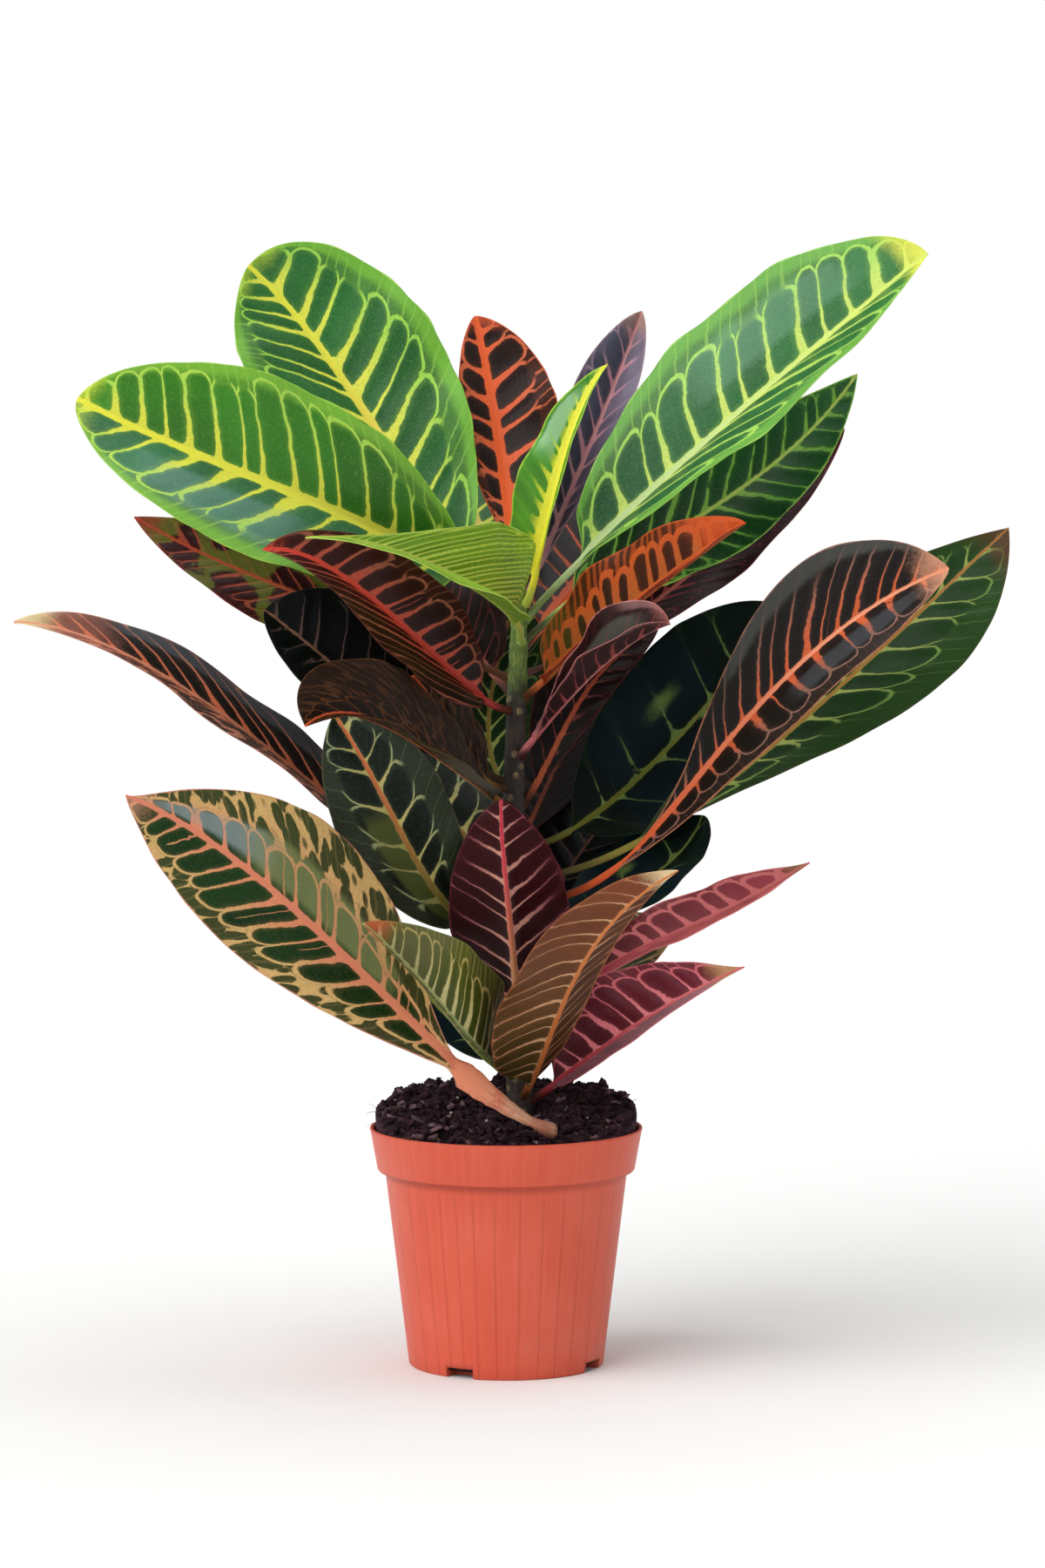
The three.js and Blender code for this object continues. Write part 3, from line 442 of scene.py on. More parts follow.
# leaves that turn their underside to the front
TURNED = ("plum", "bronze")


def blend(tree, factor, a, b):
    """The colour socket of a blend from colour a to colour b, by a factor from 0 to 1."""
    a, b = (colour(end) if isinstance(end, str) else end for end in (a, b))
    return add(tree, "ShaderNodeMix", {0: factor, 6: a, 7: b}, data_type="RGBA").outputs[2]


def texture(tree, kind, scale, vector=None, **settings):
    """A procedural texture over object coordinates, where scale counts its features in a metre, or
    over the given vector."""
    if vector is None:
        vector = add(tree, "ShaderNodeTexCoord").outputs["Object"]
    inputs = {"Vector": vector, "Scale": scale}
    for key in ("Detail", "Roughness", "Randomness"):
        if key.lower() in settings:
            inputs[key] = settings.pop(key.lower())
    return Field(tree, add(tree, kind, inputs, **settings).outputs[0])


def bump(tree, shader, height, distance):
    """Relief from a height between 0 and 1, distance deep in metres."""
    node = add(tree, "ShaderNodeBump", {"Height": height, "Distance": distance, "Strength": 1.0})
    tree.links.new(node.outputs[0], shader.inputs["Normal"])


def make_piece(name, bm, node, materials, smooth=True):
    """A finished piece that rides with the plant and stands for a node."""
    mesh = bpy.data.meshes.new(name)
    bm.to_mesh(mesh)
    bm.free()
    for material in materials:
        mesh.materials.append(material)
    for polygon in mesh.polygons:
        polygon.use_smooth = smooth
    piece = bpy.data.objects.new(name, mesh)
    bpy.context.collection.objects.link(piece)
    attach(piece, "root")
    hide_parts(node)
    return piece


def sheet_of(columns, rows):
    """A grid whose vertices are read as (column, row) from its corner, with that list of pairs."""
    bm = bmesh.new()
    bmesh.ops.create_grid(bm, x_segments=columns, y_segments=rows, size=1)
    places = []
    for vertex in bm.verts:
        places.append((round((vertex.co.x + 1) / 2 * columns), round((vertex.co.y + 1) / 2 * rows)))
    return bm, places


def closed(bm, sides):
    """Merges a wrapped sheet's seam, caps its ends and turns its faces outwards."""
    bmesh.ops.remove_doubles(bm, verts=bm.verts, dist=1e-6)
    bmesh.ops.holes_fill(bm, edges=bm.edges, sides=sides)
    bmesh.ops.recalc_face_normals(bm, faces=bm.faces)


def stem_middle(z):
    heights = [point[2] for point in STEM_AXIS]
    x, y = (np.interp(z, heights, [point[axis] for point in STEM_AXIS]) for axis in (0, 1))
    return Vector((x, y, z))


def stem_radius(z):
    return float(np.interp(z, [point[2] for point in STEM_AXIS], STEM_RADII))


def vein_tree():
    """The shared node group that turns a blade's coordinates into its pattern of cells and veins.

    Its lengths are millimetres; the map "veins" holds the phase of the veins and the distance from
    the midrib, the map "blade" the share along the blade and the half width, below 0 at the left."""
    group = bpy.data.node_groups.new("blade_pattern", "ShaderNodeTree")
    inputs = ("Spacing", "Line", "Midrib", "Flare", "Fringe", "Blobs", "Mesh", "Round", "Open", "Broken", "Split",
              "End Left", "End Right", "Reach Left", "Reach Right")
    for label in inputs:
        group.interface.new_socket(label, in_out="INPUT", socket_type="NodeSocketFloat")
    for label in ("Vein", "Rib", "Margin", "Chance", "Across", "Along", "Depth", "Right", "Fibres"):
        group.interface.new_socket(label, in_out="OUTPUT", socket_type="NodeSocketFloat")
    sockets = add(group, "NodeGroupInput").outputs
    spacing, line, midrib, flare, fringe, blobs, mesh, roundness, opening, broken, split, *ends = (
        Field(group, sockets[i]) for i in range(len(inputs)))
    veins = add(group, "ShaderNodeSeparateXYZ", {0: add(group, "ShaderNodeUVMap", uv_map="veins").outputs[0]})
    blade = add(group, "ShaderNodeSeparateXYZ", {0: add(group, "ShaderNodeUVMap", uv_map="blade").outputs[0]})
    phase, distance = (Field(group, veins.outputs[i]) for i in range(2))
    # a stalk's distance is negative and holds the angle round it, for fibres that run along it
    round_stalk = add(group, "ShaderNodeCombineXYZ", {0: distance, 1: phase * 0.05}).outputs[0]
    fibres = texture(group, "ShaderNodeTexNoise", 2.2, vector=round_stalk, detail=3, roughness=0.6)
    along, signed = (Field(group, blade.outputs[i]) for i in range(2))
    half = signed.math("ABSOLUTE")
    right = signed.math("GREATER_THAN", 0.0)
    end = ends[0] + (ends[1] - ends[0]) * right
    reach = ends[2] + (ends[3] - ends[2]) * right
    # veins wander slowly, over 17 mm, and tremble over 2.6 mm
    wander = texture(group, "ShaderNodeTexNoise", 60, detail=2) - 0.5
    shake = texture(group, "ShaderNodeTexNoise", 380, detail=3) - 0.5
    phase = phase + (wander + shake * 0.27) * (spacing.math("POWER", -1.0) * 4.5).math("MINIMUM", 0.45)
    distance = (distance + shake * 1.1).math("MAXIMUM", 0.0)

    def chances(value):
        node = add(group, "ShaderNodeTexWhiteNoise", {"W": value + 0.37}, noise_dimensions="1D")
        parts = add(group, "ShaderNodeSeparateXYZ", {0: node.outputs["Color"]})
        return [Field(group, parts.outputs[i]) for i in range(3)]

    # a cell lies between two veins; both have chances of their own
    cell = phase.math("FLOOR")
    chance, second, third = chances(cell)
    own, other, _ = chances((phase + 0.5).math("FLOOR") + 500.0)
    across = (distance / half).math("MULTIPLY", 1.0, clamp=True)
    rib_half = midrib * (1.0 - along * 0.66)
    # a vein is widest where it leaves the midrib, and some veins are stouter than others
    flared = ((distance - rib_half) / (half * 0.12 + 1.2) * -1.0).math("EXPONENT") * flare
    line_half = line * (own * 0.7 + 0.6) * (1.85 - across * 0.8 + flared.math("MINIMUM", 3.5))
    # main cells: rounded boxes between neighbouring veins
    sideways = (phase - cell - 0.5).math("ABSOLUTE") * spacing
    box_half = spacing * 0.5 - line_half
    inner = rib_half + line * 0.5
    outer = half * (end + (along - 0.6) * 0.16) - second * half * 0.16
    centre = (inner + outer) * 0.5
    box_reach = (outer - inner) * 0.5
    beyond = (distance - centre).math("GREATER_THAN", 0.0)
    corner = (spacing * roundness).math("MINIMUM", box_reach).math("MAXIMUM", 0.05) * (beyond * 0.65 + 0.3)
    qx = sideways - box_half + corner
    qy = (distance - centre).math("ABSOLUTE") - box_reach + corner
    outside = qx.math("MAXIMUM", 0.0).math("POWER", 2.0) + qy.math("MAXIMUM", 0.0).math("POWER", 2.0)
    main = outside.math("SQRT") + qx.math("MAXIMUM", qy).math("MINIMUM", 0.0) - corner
    # beyond the scalloped ends lies a band cut by short twigs
    arc = line * 2.2
    band = (main - arc).step(-0.2, 0.3) * (distance - outer + corner).step(0.0, 0.8)
    twig_phase = phase * 2.0 + 0.35 + other * 0.3
    twig = (twig_phase - twig_phase.math("FLOOR") - 0.5).math("ABSOLUTE") * spacing * 0.5
    twigs = (spacing * 0.25 - twig).step(line * 1.1, line * 0.5)
    net_place = add(group, "ShaderNodeCombineXYZ", {0: phase * spacing * 1.3, 1: distance * 0.8}).outputs[0]
    net = texture(group, "ShaderNodeTexVoronoi", mesh.math("POWER", -1.0), vector=net_place, randomness=0.8)
    twigs = (twigs * fringe).math("MAXIMUM", net.step(0.56, 0.66) * blobs)
    # an open cell's rounded end fades in its middle, so that its veins end in forks
    opened = (second + opening - 1.0).step(-0.02, 0.02) * sideways.step(spacing * 0.4, spacing * 0.16)
    lines = main.step(-0.3, 0.3) * (1.0 - band) * (1.0 - opened * (distance - centre).step(0.0, 1.5))
    lines = lines.math("MAXIMUM", twigs * band)
    # short middle veins in some of the cells
    middle = sideways.step(line * 0.75, line * 0.3) * (third - 1.0 + split).step(-0.02, 0.02)
    lines = lines.math("MAXIMUM", middle * (distance - half * (chance * 0.4 + 0.3)).step(1.5, -1.5) * 0.8)
    # veins fade towards the margin, and broken ones have gaps about 7 mm apart
    fade = (across + (own - 0.5) * 0.5).step(reach + 0.15, reach - 0.2)
    gaps = texture(group, "ShaderNodeTexNoise", 150, detail=2)
    gaps = (gaps - broken * 0.62 - 0.08).step(0.0, 0.12).math("MAXIMUM", 1.0 - broken * 6.0).math("MINIMUM", 1.0)
    vein = lines * fade * gaps
    rib = distance.step(rib_half + 0.5, rib_half - 0.2)
    margin = (half - distance).step(1.0, 0.3)
    output = add(group, "NodeGroupOutput")
    results = (vein, rib, margin, chance, across, along, main, right, fibres)
    for socket, value in zip(output.inputs, results):
        group.links.new(value.socket, socket)
    return group


PATTERN = vein_tree()
BLADES = {}


def blade_material(look_name, under):
    """The waxy skin of a blade's upper side, or its duller underside."""
    key = f"blade_{look_name}_under" if under else f"blade_{look_name}"
    if key in BLADES:
        return BLADES[key]
    look = COMMON | LOOKS[look_name]
    material, tree, shader = new_material(key)
    pattern = add(tree, "ShaderNodeGroup", {}, node_tree=PATTERN)
    for socket in pattern.inputs:
        name, _, side = socket.name.lower().partition(" ")
        socket.default_value = look[name][side == "right"] if side else look[name]
    vein, rib, margin, chance, across, along, depth, right, fibres = (
        Field(tree, output) for output in pattern.outputs)
    # clouds of 18 mm, a grain of 1.1 mm and a mesh of fine veinlets 1.4 mm wide
    cloud = texture(tree, "ShaderNodeTexNoise", 55, detail=3)
    grain = texture(tree, "ShaderNodeTexNoise", 900, detail=3, roughness=0.7)
    mesh = texture(tree, "ShaderNodeTexVoronoi", 700, feature="DISTANCE_TO_EDGE")
    # cells: their colours along the blade, darker in places, with a halo of the veins' colour
    base, tip = look["cell"]
    near, far = look["vein"]
    cells = blend(tree, along.step(0.0, 1.0), base, tip)
    if "cell_right" in look:
        other = blend(tree, along.step(0.0, 1.0), *look["cell_right"])
        cells = blend(tree, right, cells, other)
    dark = (chance * 0.35 + cloud * 0.7 - 0.35).math("MULTIPLY", 0.8, clamp=True)
    cells = blend(tree, dark, cells, "#040804")
    halo = 0.14 if look["gloss"] > 0.2 else 0.06
    cells = blend(tree, depth.step(-2.2, 0.2) * halo, cells, far)
    cells = blend(tree, mesh.step(0.1, 0.0) * (grain.step(0.35, 0.65) * halo), cells, far)
    cells = blend(tree, grain.step(0.55, 0.8) * halo, cells, far)
    # veins and margin
    lines = blend(tree, across.step(0.1, 0.75), near, far)
    lines = blend(tree, grain.step(0.4, 0.75) * 0.3, lines, cells)
    tone = blend(tree, vein, cells, lines)
    tone = blend(tree, margin * 0.75, tone, look["margin"])
    # patches with ragged edges, some of them the leaf's own colour and some painted sheen, then blotches and the
    # ripened tip
    for shade, side, (inner, outer), (low, high), strength in look["patches"]:
        ragged = (cloud - 0.5) * 0.12 + (grain - 0.5) * 0.05
        mask = (across + ragged).step(inner - 0.06, inner + 0.06) * (across + ragged).step(outer + 0.06, outer - 0.06)
        mask = mask * (along + ragged).step(low - 0.06, low + 0.06) * (along + ragged).step(high + 0.06, high - 0.06)
        if side != "both":
            mask = mask * (right if side == "right" else 1.0 - right)
        tone = blend(tree, mask * (1.0 - vein * 0.5) * strength, tone, shade)
    if look["blotch"]:
        spot = (cloud + grain * 0.1).step(0.56, 0.62) * along.step(0.15, 0.4)
        tone = blend(tree, spot * 0.75, tone, look["blotch"])
    if look["tip"]:
        shade, start = look["tip"]
        ripe = (along + (grain - 0.5) * 0.05 + (cloud - 0.5) * 0.1).step(start - 0.04, start + 0.05)
        tone = blend(tree, ripe * 0.85, tone, shade)
    # midrib, and the stalk that it becomes, with fibres along it; towards the shoot the stalk takes its stalk colour,
    # which in the default dark brown is partly painted shade of the plant's crowded centre
    stalk_tone_and_shade, stalk_strength = look["stalk"]
    midrib = blend(tree, along.step(0.0, 0.9), *look["rib"])
    midrib = blend(tree, grain.step(0.4, 0.8) * 0.25, midrib, far)
    stalk_colour_and_shade = (along + (cloud - 0.5) * 0.1).step(0.0, -0.2) * stalk_strength
    midrib = blend(tree, stalk_colour_and_shade, midrib, stalk_tone_and_shade)
    midrib = blend(tree, along.step(0.0, -0.1) * fibres.step(0.5, 0.62) * 0.5, midrib, base)
    if look["fibre"]:
        worn = (cloud + (grain - 0.5) * 0.6).step(0.46, 0.58) * along.step(0.14, 0.04)
        midrib = blend(tree, worn * 0.5, midrib, look["fibre"])
    tone = blend(tree, rib, tone, midrib)
    if under:
        tone = blend(tree, look["dull"], tone, tip)
    tree.links.new(tone, shader.inputs["Base Color"])
    gloss = grain * 0.14 + cloud * 0.14 + (0.42 if under else 0.22)
    tree.links.new(gloss.socket, shader.inputs["Roughness"])
    shader.inputs["Specular IOR Level"].default_value = look["gloss"]
    shader.inputs["Coat Weight"].default_value = 0.0 if under else look["gloss"] * 0.3
    shader.inputs["Coat Roughness"].default_value = 0.25
    # veins are pressed in above and stand out below, the midrib stands out on both sides
    raised = vein * (0.5 if under else -0.35) + rib * (0.9 if under else 0.3)
    bump(tree, shader, raised + grain * 0.12 + mesh.step(0.0, 0.2) * 0.1, 0.0004)
    BLADES[key] = material
    return material


def midrib_path(via, height):
    """Points of one cubic through a leaf's root and three midrib points, and its length up to each."""
    via = [np.array(point, float) for point in via]
    if height is None:
        root = np.array(CUT_FOOT, float)
    else:
        root = np.array(stem_middle(height))
        outward = via[0] - root
        outward[2] = 0
        root = root + outward / np.linalg.norm(outward) * SUNK * stem_radius(height)
    a, b, tip = via
    first = (-5 * root + 18 * a - 9 * b + 2 * tip) / 6
    second = (2 * root - 9 * a + 18 * b - 5 * tip) / 6
    t = np.linspace(0, 1, PATH_POINTS)[:, None]
    curve = (1 - t) ** 3 * root + 3 * t * (1 - t) ** 2 * first + 3 * t * t * (1 - t) * second + t ** 3 * tip
    lengths = np.concatenate([[0], np.cumsum(np.linalg.norm(np.diff(curve, axis=0), axis=1))])
    return curve, lengths


def shares_across(columns, crowding):
    """Shares of the half width from margin to margin, crowded at the midrib and at the margins."""
    half = np.linspace(0, 1, columns // 2) ** crowding * LAST_COLUMN
    return np.concatenate([[-1], -half[:0:-1], [0], half[1:], [1]])


def build_leaf(name, row, seed):
    """One leaf: a sheet that is wrapped round the stalk and lies double over the blade."""
    look_name, width, stalk, fold, powers, face, via = row
    look = COMMON | LOOKS[look_name]
    cut = name not in LEAVING
    fold = np.broadcast_to(fold, 2)
    powers = np.broadcast_to(powers, (2, 2))
    shares = SIDES.get(name, (1, 1))
    curve, lengths = midrib_path(via, LEAVING.get(name))
    total = lengths[-1]
    blade_length = total - stalk
    slants = [1 / math.tan(math.radians(slope)) for slope in look["slope"]]

    # columns: shares across the blade and angles round the stalk, first above and then below
    upper_v = shares_across(UPPER_COLUMNS, 1.25)
    lower_v = -shares_across(UNDER_COLUMNS, 1.9)
    v_all = np.concatenate([upper_v, lower_v, upper_v[:1]])
    is_lower = np.concatenate([np.zeros(len(upper_v)), np.ones(len(lower_v)), [0]]).astype(bool)
    upper_angles = np.pi * (1 - (np.arange(len(upper_v)) + 0.5) / len(upper_v))
    lower_angles = -np.pi * (np.arange(len(lower_v)) + 0.5) / len(lower_v)
    angle_all = np.concatenate([upper_angles, lower_angles, upper_angles[:1]])
    columns = len(v_all) - 1

    # rows: along the stalk, then along the blade with more of them towards its base and tip
    rows = STALK_ROWS + BLADE_ROWS
    part = np.linspace(0, 1, STALK_ROWS + 1)[:-1]
    even = np.linspace(0, 1, BLADE_ROWS + 1)
    blade_share = 0.65 * (0.5 - 0.5 * np.cos(np.pi * even ** 0.92)) + 0.35 * even
    distance = np.concatenate([part * stalk, stalk + blade_share * blade_length])
    share = np.concatenate([np.zeros(STALK_ROWS), blade_share])
    stalk_part = np.concatenate([part, np.ones(BLADE_ROWS + 1)])

    face = np.array(face, float)
    bm, places = sheet_of(columns, rows)
    points = np.zeros((rows + 1, columns + 1, 3))
    phases = np.zeros((rows + 1, columns + 1))
    reaches = np.zeros((rows + 1, columns + 1))
    halves = np.zeros((rows + 1, 2))
    for j in range(rows + 1):
        s = share[j]
        # the midrib's place and direction, and the directions across it and out of the upper side
        stations = (distance[j], min(distance[j] + 0.5, total), max(distance[j] - 0.5, 0))
        middle, ahead, behind = (
            np.array([np.interp(station, lengths, curve[:, k]) for k in range(3)]) for station in stations)
        tangent = (ahead - behind) / np.linalg.norm(ahead - behind)
        normal = face - face.dot(tangent) * tangent
        normal /= np.linalg.norm(normal)
        across = np.cross(tangent, normal)
        for right, (rise, fall) in enumerate(powers):
            peak = rise / (rise + fall)
            full = (s / peak) ** rise * ((1 - s) / (1 - peak)) ** fall
            halves[j, right] = max(shares[right] * width / 2 * full, LEAST_HALF)
        opened = np.clip(s / OPENING, 0, 1)
        opened = opened ** 2 * (3 - 2 * opened)
        for i in range(columns + 1):
            v = v_all[i]
            right = 1 if v > 0 else 0
            side = 1 if v > 0 else -1
            half = halves[j, right]
            ragged = 1 + RAGGED * abs(v) ** 3 * (noise.noise(Vector((14 * s, 5 * right, seed))) - 0.4)
            reach = abs(v) * half * ragged
            # each half leaves the midrib at its fold and bends back as an arc, with waves and lumps
            start = math.radians(fold[right] + UPTURN)
            bend = math.radians(DROOP / width)
            slope = start + bend * reach
            lift = WAVE * (reach / (width / 2)) ** 2 * math.sin(2 * math.pi * (3 * s + 0.25 * right))
            lift += WRINKLE * abs(v) ** 3 * noise.noise(Vector((9 * s, 3 * right, seed)))
            lift += LUMP * min(1, reach / 8) * noise.noise(Vector((4.5 * s, 1.6 * v, seed + 0.5)))
            x = side * (math.sin(slope) - math.sin(start)) / bend
            z = (math.cos(start) - math.cos(slope)) / bend + lift
            # the veins' phase grows by 1 from each vein to the next, and the skin is quilted between them
            slant = slants[right]
            phase = blade_length * s - reach * slant - 0.004 * math.copysign(1, slant) * reach ** 2
            phase *= look["dense"][right] / look["spacing"]
            phase = phase + 0.13 * math.sin(1.9 * phase + seed) + 0.08 * math.sin(3.9 * phase + 2 * seed)
            quilt = QUILT * math.cos(2 * math.pi * phase) * min(1, reach / 4) * (1 - abs(v) ** 6)
            z -= quilt * min(1, half / 8)
            phases[j, i] = phase + (RIGHT_CELLS if right else 0) + LEAF_CELLS * seed
            reaches[j, i] = reach
            if is_lower[i]:
                # the underside lies a thickness deeper, and the midrib stands out from it
                thick = THICKNESS * min(1, 0.5 + 2 * (1 - s)) * (1 - 0.45 * abs(v) ** 4)
                rib_size = 1.5 * (1 - s) + 0.25
                depth = thick + rib_size * math.exp(-(reach / (1.1 + 0.5 * rib_size)) ** 2)
                tilt = slope * min(1, reach / 3)
                x += side * math.sin(tilt) * depth
                z -= math.cos(tilt) * depth
            else:
                z += (0.35 * (1 - s) + 0.1) * math.exp(-(reach / 1.3) ** 2)
            # the stalk, round and a little wider at its foot; the cut one is wrinkled and flattened
            angle = angle_all[i]
            radius = STALK_RADIUS * (1 + 0.45 * math.exp(-distance[j] / 3.5))
            if cut:
                radius = np.interp(stalk_part[j], CUT_SHARES, CUT_RADII)
                wrinkle = Vector((1.6 * math.cos(angle), 1.6 * math.sin(angle), 0.3 * distance[j]))
                radius *= 1 + 0.16 * noise.noise(wrinkle)
            round_x = radius * math.cos(angle)
            round_z = radius * math.sin(angle) * (0.7 if cut else 1) - 0.6 * radius
            px = round_x + (x - round_x) * opened
            pz = round_z + (z - round_z) * opened
            points[j, i] = middle + across * px + normal * pz
    for vertex, (i, j) in zip(bm.verts, places):
        vertex.co = points[j, i] * MM

    # the two maps that the pattern reads, with the midrib's column cut between left and right
    veins = bm.loops.layers.uv.new("veins")
    blade = bm.loops.layers.uv.new("blade")
    place_of = dict(zip(bm.verts, places))
    for polygon in bm.faces:
        corners = [place_of[loop.vert] for loop in polygon.loops]
        column = min(i for i, _ in corners)
        middle_v = (v_all[column] + v_all[column + 1]) / 2
        polygon.material_index = 1 if is_lower[column] and is_lower[column + 1] else 0
        shift = RIGHT_CELLS if middle_v > 0 else 0
        for loop, (i, j) in zip(polygon.loops, corners):
            phase = phases[j, i] if v_all[i] != 0 else phases[j, i] + shift
            along = share[j] + FOOT_SHARE * (1 - stalk_part[j])
            loop[veins].uv = (phase, reaches[j, i] if j > STALK_ROWS else -4 - angle_all[i])
            loop[blade].uv = (along, math.copysign(halves[j, int(middle_v > 0)], middle_v))
    closed(bm, columns + 2)
    skins = [blade_material(look_name, under) for under in (False, True)]
    if look_name in TURNED:
        skins.reverse()
    make_piece("croton_" + name, bm, name, skins)


for number, (name, row) in enumerate(LEAVES.items()):
    build_leaf(name, row, number + 1)


# ---- Stem: one woody shoot, thickest at the soil and green at its growing tip. Its bark is ringed
# with the scars and swellings of the leaf bases, a little below each stalk.
STEM_SIDES = 40
STEM_STEPS = 260
TIP_SHARE = 0.6
# how far a scar lies below its stalk, half its height, and how far it swells
SCAR_DROP, SCAR_HEIGHT, SCAR_SWELL = 1.5, 1.1, 0.35
# share by which the bark is uneven, and how far it lies inside the hole's wall in millimetres
UNEVEN = 0.05
INSIDE = 0.2


def build_stem():
    low = STEM_AXIS[0][2]
    high = STEM_AXIS[-1][2]
    bm, places = sheet_of(STEM_SIDES, STEM_STEPS)
    for vertex, (i, j) in zip(bm.verts, places):
        z = low + (high - low) * j / STEM_STEPS
        angle = 2 * math.pi * (i % STEM_SIDES) / STEM_SIDES
        ring = sum(math.exp(-((z - scar + SCAR_DROP) / SCAR_HEIGHT) ** 2) for scar in LEAVING.values())
        rough = noise.noise(Vector((math.cos(angle) * 1.5, math.sin(angle) * 1.5, z * 0.12)))
        radius = stem_radius(z) * (1 + UNEVEN * rough) + SCAR_SWELL * min(ring, 1.2) - INSIDE
        if j == STEM_STEPS:
            radius *= TIP_SHARE
        point = stem_middle(z) + Vector((math.cos(angle), math.sin(angle), 0)) * radius
        vertex.co = point * MM
    closed(bm, STEM_SIDES)
    # living bark: dark grey-brown below with fissures 1.1 mm wide and paler scars, olive and smoother
    # towards the green growing tip; the dark browns are partly the bark's own colour and partly painted shade of the
    # plant's crowded centre
    material, tree, shader = new_material("stem_bark")
    spot = add(tree, "ShaderNodeTexCoord").outputs["Object"]
    height = Field(tree, add(tree, "ShaderNodeSeparateXYZ", {0: spot}).outputs[2])
    stretched = add(tree, "ShaderNodeMapping", {"Vector": spot, "Scale": (1, 1, 0.25)}).outputs[0]
    fissures = texture(tree, "ShaderNodeTexNoise", 900, vector=stretched, detail=4, roughness=0.65)
    patches = texture(tree, "ShaderNodeTexNoise", 130, detail=3)
    bark = blend(tree, patches.step(0.35, 0.65), "#1e1712", "#3e3228")
    leaf_scars = texture(tree, "ShaderNodeTexVoronoi", 130)
    bark = blend(tree, leaf_scars.step(0.26, 0.14) * 0.7, bark, "#a88e62")
    bark = blend(tree, fissures.step(0.62, 0.45) * 0.6, bark, "#241a14")
    young = blend(tree, fissures.step(0.4, 0.7), "#56702a", "#8aa24a")
    tone = blend(tree, (height + patches * 0.03).step(0.3, 0.335), bark, young)
    tree.links.new(tone, shader.inputs["Base Color"])
    tree.links.new((fissures * 0.25 + 0.55).socket, shader.inputs["Roughness"])
    bump(tree, shader, fissures, 0.0006)
    make_piece("croton_stem", bm, "stem", [material])


build_stem()


# ---- Pot: a thin-walled nursery pot, moulded in terracotta-coloured plastic, with a stepped rim
# band, faint upright ribs and four drain slots round its foot. The rim is 120 mm across.
POT_SIDES = 192
# radius and height: foot ring, outer wall, rim band, inner wall and the floor inside
POT_PROFILE = [
    (0, 0.6), (34, 0.6), (35.5, 0), (42.2, 0), (43, 0.8), (43.75, 7), (44.1, 10), (46.55, 30), (49.6, 55),
    (53.2, 84.6), (53.7, 85.8), (54.6, 86), (56.2, 86.1), (56.7, 86.7), (59.7, 103.2), (60, 104.2), (59.9, 104.8),
    (59.3, 105), (58.7, 104.8), (58.3, 104), (55.1, 88.2), (54.6, 87.6), (52.2, 87.4), (51.6, 86.6), (42.4, 10),
    (42.05, 7), (41.6, 3.4), (40.6, 2.4), (0, 2.4),
]
# the drain slots' cutters: number, first direction in degrees, distance from the axis, and size
SLOT_COUNT, SLOT_TURN, SLOT_RADIUS, SLOT_SIZE = 4, -118, 43, (16, 13, 9)


def plastic_material():
    """Moulded polypropylene: satin, faintly clouded and streaked, with a grit of under a millimetre
    and a scuffed foot. Heights on the pot are metres here."""
    material, tree, shader = new_material("terracotta_plastic")
    spot = add(tree, "ShaderNodeSeparateXYZ", {0: add(tree, "ShaderNodeTexCoord").outputs["Object"]})
    x, y, z = (Field(tree, spot.outputs[i]) for i in range(3))
    turn = y.math("ARCTAN2", x)
    column = add(tree, "ShaderNodeCombineXYZ", {0: turn * 4.0, 2: z * 4.0}).outputs[0]
    streaks = texture(tree, "ShaderNodeTexNoise", 6, vector=column, detail=3, roughness=0.6)
    cloud = texture(tree, "ShaderNodeTexNoise", 30, detail=3)
    grain = texture(tree, "ShaderNodeTexNoise", 1500, detail=2)
    tone = blend(tree, streaks.step(0.3, 0.75) * 0.45, "#d6563c", "#e2684e")
    tone = blend(tree, cloud.step(0.4, 0.75) * 0.3, tone, "#ea7660")
    # 34 ribs at uneven distances, up to the rim band, painted darker as the shade along them, and painted shade in a
    # band under the rim band
    uneven = turn * 34.0 + (turn * 3.0).math("SINE") * 1.4 + (turn * 7.0).math("COSINE") * 0.7
    ribs = uneven.math("SINE").step(0.9, 1.0) * z.step(0.084, 0.078)
    tone = blend(tree, ribs * 0.2, tone, "#9c3424")
    shade = z.step(0.0815, 0.0855) * z.step(0.0872, 0.0862)
    tone = blend(tree, shade * 0.45, tone, "#8c2c1c")
    scuff = cloud.step(0.56, 0.66) * grain.step(0.4, 0.6) * z.step(0.03, 0.0)
    tone = blend(tree, scuff * 0.25, tone, "#b8907c")
    tree.links.new(tone, shader.inputs["Base Color"])
    tree.links.new((grain * 0.12 + cloud * 0.1 + 0.34).socket, shader.inputs["Roughness"])
    bump(tree, shader, ribs * 0.5 + grain * 0.08 + streaks * 0.05, 0.0003)
    shader.inputs["Specular IOR Level"].default_value = 0.35
    return material


